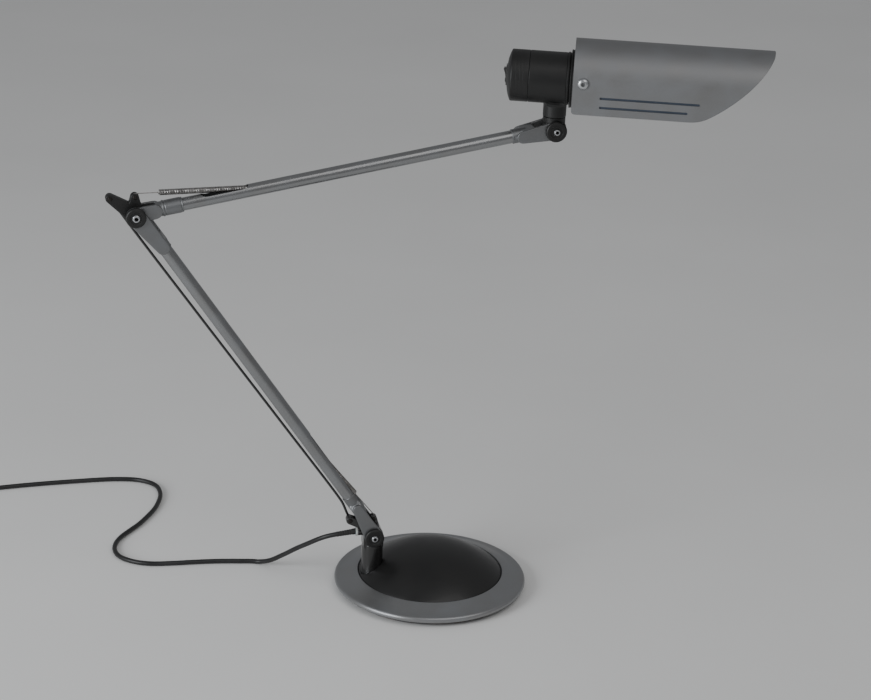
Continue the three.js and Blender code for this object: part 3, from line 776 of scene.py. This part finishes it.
def add_ear_pins(prefix, steel, place):
    """The hook pin and the rod pin, each with a domed head on the near face of its ear."""
    head = [(0, 0), (2.3, 0), (2.2, 0.5), (1.3, 0.9), (0, 1)]
    for label, x, z, far in (
        ("spring_pin", 0, EAR_PIN_HEIGHT, EAR_HALF + 0.6),
        ("rod_pin", ROD_PIN.x, ROD_PIN.z, ROD_Y + 2.4),
    ):
        shank = moved(rod(1.2, -EAR_HALF, far), shifted(x, 0, z) @ TO_Y)
        dome = moved(lathe(rounded(head, 0.3, 3, True), 40), shifted(x, -EAR_HALF, z) @ FROM_Y)
        clip = moved(rod(2, far - 0.9, far - 0.2, 0.2), shifted(x, 0, z) @ TO_Y)
        add_piece(f"{prefix}_{label}_turned", [shank, dome, clip], place, steel, f"{prefix}_{label}")


def add_post(enamel, nylon, rubber, steel):
    shaft_low = 17.9 - PIVOT.z
    parts = [
        rod(7, 6 - PIVOT.z, -44),
        rod(POST_R, shaft_low, -10.4),
        slab(link(0, 0, 10.4, 0, -10, 10.6), -TONGUE_HALF, TONGUE_HALF, 0.8),
        moved(rod(4.6, 5, 15.8), FROM_X @ shifted(3.4)),
        *ears(-4, 8.5, 5.5),
    ]
    post = mesh_object("swivel_post", parts, AT_POST)
    cast(post, [ear_slot(), moved(rod(2.9, 10, 18), FROM_X @ shifted(3.4))])
    skirt_r = POST_R + 0.06
    skirt = [
        (6, shaft_low + 0.1), (skirt_r, shaft_low), (skirt_r, -12.5), (POST_R - 0.6, -10.6), (6, -10.6),
    ]
    add_parts(post, [lathe(rounded(skirt, 0.7, 4, True), ROUND)])
    finish(post, enamel, "post")
    ring = rounded([(3.9, 0), (4.9, 0), (4.9, 2.2), (3.9, 2.2)], 0.5)
    turned_ring = moved(lathe(ring, 64), shifted(-15.9, 0, 3.4) @ FROM_X)
    add_piece("gland_ring", [turned_ring], AT_POST, nylon, "cord_gland")
    add_relief(rubber)
    add_ear_pins("post", steel, AT_POST)


def add_relief(rubber):
    """A tapered sleeve with bending grooves."""
    profile = [(2.45, 0), (3.2, 0), (3.2, 4)]
    for groove in range(6):
        x = 5 + 2.5 * groove
        outer = 3.2 - 0.5 * x / RELIEF_LENGTH
        profile += [(outer, x), (outer - 0.4, x + 0.3), (outer - 0.4, x + 0.9), (outer, x + 1.2)]
    profile += [(2.75, RELIEF_LENGTH), (2.45, RELIEF_LENGTH)]
    lean = Vector((0, 0, 1)).rotation_difference(RELIEF_ALONG).to_matrix().to_4x4()
    sleeve = moved(lathe(rounded(profile, 0.15, 2), 48), Matrix.Translation(RELIEF_START) @ lean)
    add_piece("ribbed_relief", [sleeve], AT_POST, rubber, "strain_relief")


# ---- pivots ----
def hex_outline(radius):
    """A hexagon with a corner on the X axis."""
    return arc(0, 0, radius, 0, 300, 5)


def add_pivot(prefix, plastic, steel, place, cap_radius, head_radius):
    """Two capped cheeks on a socket screw, with a locking nut on the far side."""
    thick = CAP_OUT - CAP_IN
    cap = [
        (3.05, 0), (cap_radius, 0), (cap_radius, thick - 1), (cap_radius - 1, thick),
        (cap_radius * 0.62, thick), (cap_radius * 0.58, thick - 0.45), (3.05, thick - 0.45),
    ]
    profile = rounded(cap, 0.35, 3)
    for label, turn, y in (("near", FROM_Y, -CAP_IN), ("far", TO_Y, CAP_IN)):
        disc = moved(lathe(profile), shifted(0, y) @ turn)
        add_piece(f"{prefix}_cap_{label}_turned", [disc], place, plastic, f"{prefix}_cap_{label}")
    face = thick - 0.25
    crown = [
        (0, -CAP_IN - CAP_OUT - 0.5), (2.9, -CAP_IN - CAP_OUT - 0.5), (2.9, face), (head_radius, face),
        (head_radius, face + 0.7), (head_radius * 0.8, face + 1.9), (0, face + 2.1),
    ]
    turned_bolt = moved(lathe(rounded(crown, 0.4, 4, True), 64), shifted(0, -CAP_IN) @ FROM_Y)
    bolt = mesh_object(f"{prefix}_bolt_turned", [turned_bolt], place)
    carve(bolt, [slab(hex_outline(head_radius * 0.55), -CAP_OUT - 4, -CAP_OUT + 1.6, 0.05)], 0.12, 40)
    finish(bolt, steel, f"{prefix}_bolt")
    flats = slab(rounded(hex_outline(4.6), 0.3), CAP_OUT + 0.2, CAP_OUT + 3.2, 0.5)
    collar = moved(rod(3.4, 3, 4.3, 0.6), shifted(0, CAP_OUT) @ TO_Y)
    tip = moved(rod(1.9, 3, 4.5, 0.3), shifted(0, CAP_OUT) @ TO_Y)
    add_piece(f"{prefix}_nut_turned", [flats, collar, tip], place, steel, f"{prefix}_nut")


# ---- forks and tubes ----
def fork_parts(offset, slot_end, cheek_end, cheek_end_r):
    """Two tapering cheeks and the bridge that joins them to the tube socket."""
    root = slot_end + BRIDGE_LENGTH
    cheek = link(0, 0, CHEEK_R, cheek_end, offset, cheek_end_r)
    near = slab(cheek, -CHEEK_OUT, -CHEEK_IN, 0.6)
    far = slab(cheek, CHEEK_IN, CHEEK_OUT, 0.6)
    flare = [
        (slot_end, -9.5), (root, -9.5), (root + 6, -6.6), (root + 6, 6.6), (root, 9.5), (slot_end, 9.5),
    ]
    bridge = moved(slab(rounded(flare, 2), offset - BRIDGE_HALF, offset + BRIDGE_HALF, 1.6), LAID_FLAT)
    return [near, far, bridge]


def socket_part(start, end, offset):
    """The turned socket that holds a tube end, with a groove behind its rim."""
    groove_r = SOCKET_R - 0.35
    rim = [
        (0, start), (SOCKET_R, start), (SOCKET_R, end - 2.6), (groove_r, end - 2.2), (groove_r, end - 1.8),
        (SOCKET_R + 0.1, end - 1.5), (SOCKET_R + 0.1, end), (0, end),
    ]
    return moved(lathe(rounded(rim, 0.25, 3, True), 64), shifted(0, 0, offset) @ TO_X)


def add_fork(name, node, metal, place, offset, slot_end, socket_end, cheek_end, cheek_end_r, pocket=()):
    cheeks_and_bridge = fork_parts(offset, slot_end, cheek_end, cheek_end_r)
    socket = socket_part(slot_end + BRIDGE_LENGTH, socket_end, offset)
    fork = mesh_object(name, [*cheeks_and_bridge, socket], place)
    cast(fork, pocket)
    finish(fork, metal, node)


def stadium(start, end, half):
    """A slot outline with round ends."""
    return arc(start + half, 0, half, 90, 270, 12) + arc(end - half, 0, half, -90, 90, 12)


def add_tube(name, node, metal, place, start, end, offset, slot, side):
    """A thin tube with a long round-ended slot for the spring on one side."""
    rings = [start + (end - start) * i / TUBE_RINGS for i in range(TUBE_RINGS + 1)]
    wall = [(TUBE_R, x) for x in rings] + [(TUBE_BORE, x) for x in reversed(rings)]
    tube = mesh_object(name, [moved(lathe(wall, 72), shifted(0, 0, offset) @ TO_X)], place)
    low, high = (0, 9) if side > 0 else (-9, 0)
    carve(tube, [moved(slab(slot, low + offset, high + offset, 0.01), LAID_FLAT)], 0.15)
    finish(tube, metal, node)


def spring_line(pin, anchor, side, coil_start, coil_end):
    """The wire of a tension spring: a hook round the pin, close turns, and a hook round the anchor."""
    reach = (anchor - pin).length
    ahead = (anchor - pin) / reach
    outward = Vector((-ahead.z, 0, ahead.x)) * side
    share = HOOK_R / reach
    radial = ahead * share + outward * math.sqrt(1 - share**2)
    leave = pin + radial * HOOK_R
    along = (anchor - leave).normalized()
    sideways = Vector((0, 1, 0))
    across = along.cross(sideways)
    coil = SPRING_R - SPRING_WIRE_R
    line = []
    for degrees in range(-250, -9, 15):
        turn = math.radians(degrees)
        line.append(pin + (radial * math.cos(turn) + along * math.sin(turn)) * HOOK_R)
    line += [leave + along * x for x in range(0, round(coil_start) - 1, 2)]
    turns = round((coil_end - coil_start) / SPRING_PITCH)
    steps = 12
    for step in range(turns * steps + 1):
        turn = 2 * math.pi * step / steps
        x = coil_start + (coil_end - coil_start) * step / (turns * steps)
        grow = coil * min(1, step / steps, turns - step / steps + 0.05)
        line.append(leave + along * x + (across * math.cos(turn) + sideways * math.sin(turn)) * grow)
    reach = (anchor - leave).length
    line += [leave + along * x for x in (coil_end + 1, (coil_end + reach) / 2, reach - 3.4)]
    for degrees in range(180, 421, 20):
        turn = math.radians(degrees)
        line.append(anchor + (along * math.cos(turn) + across * math.sin(turn)) * ANCHOR_HOOK_R)
    return line


def add_spring(name, node, wire, place, pin, anchor, side, coil):
    """A spring from a hook on its ear to the anchor in its arm, fixed in place as it lies at rest."""
    line = [place @ (p * MM) / MM for p in spring_line(pin, anchor, side, *coil)]
    spring = mesh_object(name, [sweep(line, SPRING_WIRE_R, 6)])
    finish(spring, wire, node, ride=False)
    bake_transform(spring)


def ear_pin_in_arm(degrees):
    """The spring pin of an upright ear, seen from an arm drawn along +X."""
    angle = math.radians(90 - degrees)
    return Vector((math.cos(angle), 0, math.sin(angle))) * EAR_PIN_HEIGHT


def add_lower_arm(metal, tube_metal, wire, plastic, steel):
    channel = moved(slab(rectangle(20, 60, -SLOT_HALF, SLOT_HALF), -12, 1.5, 0.1), LAID_FLAT)
    add_fork("lower_fork_casting", "lower_fork", metal, LOWER, TUBE_DROP, 28, 52, 36, 5.4, [channel])
    start, end = LOWER_TUBE[0], LOWER_LENGTH - LOWER_TUBE[1]
    slot = stadium(*LOWER_SLOT, SLOT_HALF)
    add_tube("lower_tube_drawn", "lower_tube", tube_metal, LOWER, start, end, TUBE_DROP, slot, -1)
    add_fork("lower_elbow_casting", "lower_elbow_fork", metal, LOWER_TOP, -TUBE_DROP, 30, 47, 42, 6.6)
    pin = ear_pin_in_arm(LOWER_ANGLE)
    anchor = Vector((SPRING_ANCHOR, 0, TUBE_DROP))
    add_spring(
        "lower_spring_coil", "lower_spring", wire, LOWER, pin, anchor, -1,
        LOWER_COIL,
    )
    add_pivot("base_joint", plastic, steel, LOWER, 10, 3.6)


def add_levelling_rod(enamel):
    """A thin rod with flattened eyes, cranked near its lower end to clear the tube."""
    start = turned(LOWER_ANGLE, "Y") @ ROD_PIN
    start.y = ROD_Y
    end = start + Vector((LOWER_LENGTH, 0, 0))
    bends = [
        start + Vector((6, 0, -1)), Vector((start.x + 17, ROD_Y, 7)), Vector((start.x + 26, ROD_Y, 6.5)),
        Vector((160, ROD_Y, 7.7)), Vector((300, ROD_Y, 9.6)), Vector((end.x - 30, ROD_Y, 10.9)),
    ]
    parts = [sweep(smooth_line([start, *bends, end], 3), ROD_R, 20)]
    ring = rounded([(1.4, -ROD_R), (3.1, -ROD_R), (3.1, ROD_R), (1.4, ROD_R)], 0.5)
    for eye in (start, end):
        parts.append(moved(lathe(ring, 48), Matrix.Translation(eye) @ TO_Y))
    add_piece("levelling_rod", parts, LOWER, enamel, "parallel_rod")


def add_bracket(plastic, steel):
    bracket = mesh_object("ear_bracket", ears(0, 0, 8.5), AT_ELBOW)
    cast(bracket, [ear_slot()], 0.35)
    finish(bracket, plastic, "elbow_bracket")
    add_ear_pins("bracket", steel, AT_ELBOW)


def add_upper_arm(metal, tube_metal, wire, plastic, steel):
    cheek = link(0, 0, 7.8, 19.4, 0, 7.2)
    near = slab(cheek, -TONGUE_HALF, -EAR_HALF - EAR_GAP, 0.6)
    far = slab(cheek, EAR_HALF + EAR_GAP, TONGUE_HALF, 0.6)
    casting = mesh_object("upper_casting", [near, far, moved(rod(7.4, 21, 46), TO_X)], UPPER)
    cast(casting, skin=0.4)
    collar = [
        (0, 26.6), (7.5, 26.6), (8.05, 27.2), (8.05, 28.6), (7.5, 29.2), (7.5, 29.6),
        (7.75, 30), (7.75, 45), (7.3, 45.5), (7.3, 46), (7.6, 46.3), (7.6, 47), (0, 47),
    ]
    add_parts(casting, [moved(lathe(rounded(collar, 0.2, 3, True), 72), TO_X)])
    finish(casting, metal, "upper_elbow_casting")
    start, end = UPPER_TUBE[0], UPPER_LENGTH - UPPER_TUBE[1]
    slot = stadium(*UPPER_SLOT, WIDE_SLOT_HALF)
    add_tube("upper_tube_drawn", "upper_tube", tube_metal, UPPER, start, end, 0, slot, 1)
    hole = moved(slab(stadium(22.8, 31.2, 2.2), 2, 9, 0.1), LAID_FLAT)
    add_fork("head_fork_casting", "head_fork", metal, UPPER_END, 0, 19, 43, 33, 6.2, [hole])
    pin = ear_pin_in_arm(UPPER_ANGLE)
    anchor = Vector((SPRING_ANCHOR, 0, 0))
    add_spring(
        "upper_spring_coil", "upper_spring", wire, UPPER, pin, anchor, 1,
        UPPER_COIL,
    )
    add_pivot("elbow_joint", plastic, steel, UPPER, 10, 4)
    add_pivot("head_joint", plastic, steel, UPPER_END, 10.5, 3.4)


# ---- head ----
def add_knuckle(plastic):
    tongue = slab(link(0, 0, 11.2, 0, 1.2, 11.2, 32), -TONGUE_HALF, TONGUE_HALF, 0.8, 4)
    collar = rod(11.2, 6, 12.7, 0.4, 80)
    add_piece("head_knuckle", [tongue, collar, rod(5, 8, 20)], KNUCKLE, plastic, "knuckle")


def add_housing(plastic):
    """The barrel with its bead, on a turned neck."""
    barrel = [
        (0, -27), (HOUSING_R - 0.3, -27), (HOUSING_R, -26.6), (HOUSING_R, 9.4), (HOUSING_R - 0.3, 9.8),
        (HOUSING_R + 0.6, 10.2), (HOUSING_R + 0.6, 12), (HOUSING_R, 12.3), (HOUSING_R, 13), (0, 13),
    ]
    turned_barrel = moved(lathe(rounded(barrel, 0.3, 3, True), 128), LAMP_AXIS)
    neck = [(0, 13), (11.5, 13), (11.5, 24.5), (12.6, 27.5), (15, 30), (0, 33)]
    turned_neck = lathe(rounded(neck, 0.8, 4, True), 80)
    add_piece("housing_barrel", [turned_barrel, turned_neck], HEAD, plastic, "lamp_housing")
    ring = [
        (0, 13.3), (28.5, 13.3), (28.5, 14.9), (28.1, 15.1), (28.1, 15.5), (28.5, 15.7), (28.5, 17.4),
        (0, 17.4),
    ]
    flange = moved(lathe(rounded(ring, 0.4, 3, True), 128), LAMP_AXIS)
    add_piece("housing_ring", [flange], HEAD, plastic, "housing_flange")


def add_end_cap(plastic):
    """The domed end of the housing, with a pocket for the switch."""
    crown = 4.4
    radii = [(HOUSING_R - 0.6) * i / 24 for i in range(25)]
    dome = [(r, crown * (1 - (r / HOUSING_R) ** 3)) for r in radii]
    skirt = [(HOUSING_R - 0.1, -0.3), (HOUSING_R, -1.2)]
    groove_r = HOUSING_R - 0.12
    for groove in range(3):
        x = -4.6 - 3.4 * groove
        skirt += [(HOUSING_R, x), (groove_r, x - 0.2), (groove_r, x - 0.4), (HOUSING_R, x - 0.6)]
    skirt += [(HOUSING_R, -17), (HOUSING_R - 0.3, -17.4), (0, -17.4)]
    turned_end = moved(lathe(dome + skirt, 128), shifted(HOUSING_END, 0, HEAD_AXIS) @ FROM_X)
    cap = mesh_object("housing_end", [turned_end], HEAD)
    pocket = rectangle(-4.4, 4.4, HEAD_AXIS - 10.4, HEAD_AXIS + 10.4, 1)
    carve(cap, [moved(slab(pocket, -60, -44, 0.1), STOOD_ACROSS)], 0.2)
    finish(cap, plastic, "housing_cap")


def add_switch(plastic):
    outer = rectangle(-4.1, 4.1, HEAD_AXIS - 10.1, HEAD_AXIS + 10.1, 0.8)
    inner = rectangle(-3, 3, HEAD_AXIS - 8.6, HEAD_AXIS + 8.6, 0.4)
    surround = mesh_object("switch_surround", [moved(slab(outer, -49.9, -44.2, 0.5), STOOD_ACROSS)], HEAD)
    carve(surround, [moved(slab(inner, -52, -45.2, 0.05), STOOD_ACROSS)], 0.25)
    finish(surround, plastic, "switch_frame")
    corners = [(1.4, -2), (-1.2, -7.6), (-4.2, -7.6), (-3, 0), (-4.2, 7.6), (-1.2, 7.6), (1.4, 2)]
    rest = shifted(-47.5, 0, HEAD_AXIS) @ turned(-8, "Y")
    button = slab(rounded(corners, 2.4, 6), -2.7, 2.7, 0.4)
    ridges = []
    for end in (-1, 1):
        for step in range(3):
            z = end * (3.6 + 1.2 * step)
            x = -3 - 1.2 * (abs(z) / 7.6)
            ridges.append(moved(rod(0.28, -1.9, 1.9, 0.2, 16), shifted(x - 0.05, 0, z) @ TO_Y))
    parts = [moved(part, rest) for part in (button, *ridges)]
    add_piece("switch_rocker", parts, HEAD, plastic, "rocker_switch")


def bezier(points, steps):
    """Points on a Bezier curve from the first point to the last, drawn towards the ones in between."""
    line = []
    for step in range(steps + 1):
        t = step / steps
        row = [Vector(p) for p in points]
        while len(row) > 1:
            row = [a.lerp(b, t) for a, b in zip(row, row[1:])]
        line.append((row[0].x, row[0].y))
    return line


def mouth_curve():
    """The open end of the shade from its rim to its top, as points of length and height."""
    foot = bezier([(130, SHADE_RIM), (140, SHADE_RIM), (148, 29.8)], 12)
    sweep_up = bezier([(148, 29.8), (171, 42.5), (195, 66), (209, 89.5)], 30)
    return foot + sweep_up[1:] + [(210, SHADE_CENTRE + SHADE_R)]


def along_curve(curve, height):
    """How far forward a curve is at a height."""
    for (x0, z0), (x1, z1) in zip(curve, curve[1:]):
        if height <= z1 and z1 > z0:
            return x0 + (x1 - x0) * max(0.0, (height - z0) / (z1 - z0))
    return curve[-1][0]


def shade_back(height):
    """Where the shade starts at a height; its rear lower corner is round."""
    below = SHADE_RIM + SHADE_CORNER - height
    if below <= 0:
        return SHADE_BACK
    return SHADE_BACK + SHADE_CORNER - math.sqrt(max(0.0, SHADE_CORNER**2 - below**2))


def add_shade(metal):
    """One sheet bent over in a U, cut to its curved mouth, with two cooling slots a side."""
    curve = mouth_curve()
    heights = [SHADE_RIM]
    for z in sorted([SHADE_RIM + 0.4, SHADE_RIM + 1.7, *[z for _, z in curve if z < SHADE_CENTRE - 1]]):
        if z - heights[-1] > 0.2:
            heights.append(z)
    side = [(-SHADE_R, z) for z in heights]
    over = [(y, z + SHADE_CENTRE) for y, z in arc(0, 0, SHADE_R, 180, 0, 60)]
    section = side + over + [(SHADE_R, z) for z in reversed(heights)]
    rows = 56
    points = []
    for y, z in section:
        back, front = shade_back(z), along_curve(curve, z)
        points += [Vector((back + (front - back) * i / rows, y, z)) for i in range(rows + 1)]
    faces = []
    for k in range(len(section) - 1):
        for i in range(rows):
            a = k * (rows + 1) + i
            faces.append((a, a + 1, a + rows + 2, a + rows + 1))
    shade = mesh_object("shade_sheet", [(points, faces)], HEAD)
    outward = shade.data.polygons[len(shade.data.polygons) // 2].normal.z > 0
    modify(shade, "SOLIDIFY", thickness=SHADE_WALL * MM, offset=-1 if outward else 1)
    slots = []
    for end, low in SHADE_SLOTS:
        outline = rectangle(SHADE_SLOT_START, end, low, low + SHADE_SLOT_HEIGHT, 1.1)
        slots.append(slab(outline, -50, 50, 0.01))
    carve(shade, slots, 0.3)
    finish(shade, metal, "shade")


def add_slot_shade_strips(slot_shade_paint):
    """A dark strip behind the slots of each side, painted shade for the shaded inside seen through them."""
    inner = SHADE_R - SHADE_WALL
    strips = []
    for side in (-1, 1):
        near, far = sorted((side * (inner - 0.1), side * (inner - 0.7)))
        strips.append(slab(rectangle(41, 142.5, 31, 46.5, 1.5), near, far, 0.15))
    shade_strips = mesh_object("slot_shade_strips", strips, HEAD)
    finish(shade_strips, slot_shade_paint, "shade", stands_for=False)


def add_shade_fittings(plastic, steel):
    inner = SHADE_R - SHADE_WALL - EAR_GAP
    outline = [(-inner, 31), (inner, 31), *arc(0, SHADE_CENTRE, inner, 0, 180, 40)]
    parts = [moved(slab(outline, 17.7, 19.7, 0.4), STOOD_ACROSS)]
    for side in (-1, 1):
        near, far = sorted((side * (inner - 2.8), side * (inner - 0.3)))
        parts.append(slab(rectangle(18.5, 34, 50, 61.5, 2), near, far, 0.4))
    add_piece("shade_backplate", parts, HEAD, plastic, "shade_bracket")
    crown = [(0, -7), (1.7, -7), (1.7, -0.1), (5.6, -0.1), (5.4, 1), (4.6, 1.9), (3.2, 2.6), (0, 2.9)]
    for label, side, turn in (("near", -1, FROM_Y), ("far", 1, TO_Y)):
        at = shifted(SCREW_X, side * (SHADE_R + 0.1), SCREW_Z)
        head = moved(lathe(rounded(crown, 0.5, 4, True), 72), at @ turn)
        screw = mesh_object(f"shade_screw_{label}_turned", [head], HEAD)
        carve(screw, [moved(rod(2.3, -0.9, 4, 0.2, 6), at @ turn)], 0.15, 45)
        finish(screw, steel, f"shade_screw_{label}")


def add_bulb(porcelain, contact, glass):
    holder = [(0, 20), (19, 20), (19, 27), (17, 30), (17, 46), (14, 46), (14, 27), (0, 27)]
    socket = moved(lathe(rounded(holder, 0.9, 4, True)), LAMP_AXIS)
    add_piece("porcelain_holder", [socket], HEAD, porcelain, "lamp_holder")
    thread = [(0, 28)]
    for step in range(49):
        x = 28.3 + 17.4 * step / 48
        thread.append((12.8 + 0.4 * math.cos(2 * math.pi * step / 8), x))
    thread.append((0, 46))
    add_piece("screw_cap", [moved(lathe(thread, 72), LAMP_AXIS)], HEAD, contact, "bulb_base")
    envelope = [(0, 46.3), (12.6, 46.3), (13.2, 48), (14.6, 51), (15, 54), *arc(0, 108, 15, 0, 90, 24)]
    add_piece("opal_tube", [moved(lathe(envelope, 72), LAMP_AXIS)], HEAD, glass, "bulb_envelope")


# ---- parts of the CAD model that stay as they are ----
def repaint(node, material):
    data = frame["nodes"][node].data
    data.materials.clear()
    data.materials.append(material)


# ---- floor and studio light ----
def add_floor():
    size = 12
    points = [Vector((x * size, y * size, 0)) for x, y in ((-1, -1), (1, -1), (1, 1), (-1, 1))]
    mesh = bpy.data.meshes.new("floor")
    mesh.from_pydata(points, [], [(0, 1, 2, 3)])
    mesh.materials.append(pale_floor())
    add_object("floor", mesh)


def add_light(name, at, aim, size, power, colour):
    data = bpy.data.lights.new(name, "AREA")
    data.shape = "RECTANGLE"
    data.size, data.size_y = size
    data.energy = power
    data.color = colour
    light = add_object(name, data)
    light.location = at
    light.rotation_euler = (Vector(aim) - Vector(at)).to_track_quat("-Z", "Y").to_euler()


def add_studio():
    add_floor()
    add_light(
        "window_light", at=(-2.3, -1.1, 1.05), aim=(-0.1, 0, 0.25), size=(1.1, 1.3), power=44,
        colour=(0.95, 0.975, 1),
    )
    add_light(
        "room_light", at=(0.9, -1.9, 2.8), aim=(-0.1, 0.2, 0), size=(2.8, 2.2), power=26,
        colour=(1, 0.985, 0.97),
    )
    world = bpy.data.worlds.new("studio")
    world.use_nodes = True
    background = world.node_tree.nodes["Background"]
    background.inputs["Color"].default_value = (0.82, 0.83, 0.85, 1)
    background.inputs["Strength"].default_value = 0.33
    bpy.context.scene.world = world


# ---- the whole lamp ----
add_camera()
sheath = cord_sheath()
matte = matte_plastic()
enamel = gloss_enamel()
steel = bright_steel()
pin_steel = blackened_steel()
casting = cast_silver()
tubing = drawn_tube()
wire = spring_wire()
pad = pad_rubber()
nickel = plated_brass("nickel_contact", (0.42, 0.4, 0.36), (0.58, 0.56, 0.5))
brass = plated_brass("bush_brass", (0.4, 0.27, 0.1), (0.6, 0.43, 0.18))

add_plug(matte, nickel)
add_tie(pad)
add_cord(sheath)
add_flange(painted_silver())
add_dome(dome_plastic())
add_post(enamel, pale_nylon(), pad, pin_steel)
add_lower_arm(casting, tubing, wire, matte, steel)
add_levelling_rod(enamel)
add_bracket(matte, pin_steel)
add_upper_arm(casting, tubing, wire, matte, steel)
add_knuckle(matte)
add_housing(matte)
add_end_cap(matte)
add_switch(enamel)
add_shade(shade_silver())
# painted shade: dark strips behind the slots of the shade
add_slot_shade_strips(painted_slot_shade())
add_shade_fittings(matte, steel)
add_bulb(glazed_porcelain(), nickel, opal_glass())

iron = raw_iron()
repaint("base_pad", pad)
repaint("bottom_plate", iron)
repaint("ballast_weight", iron)
repaint("swivel_bush", brass)
repaint("lower_spring_anchor", steel)
repaint("upper_spring_anchor", steel)

add_studio()
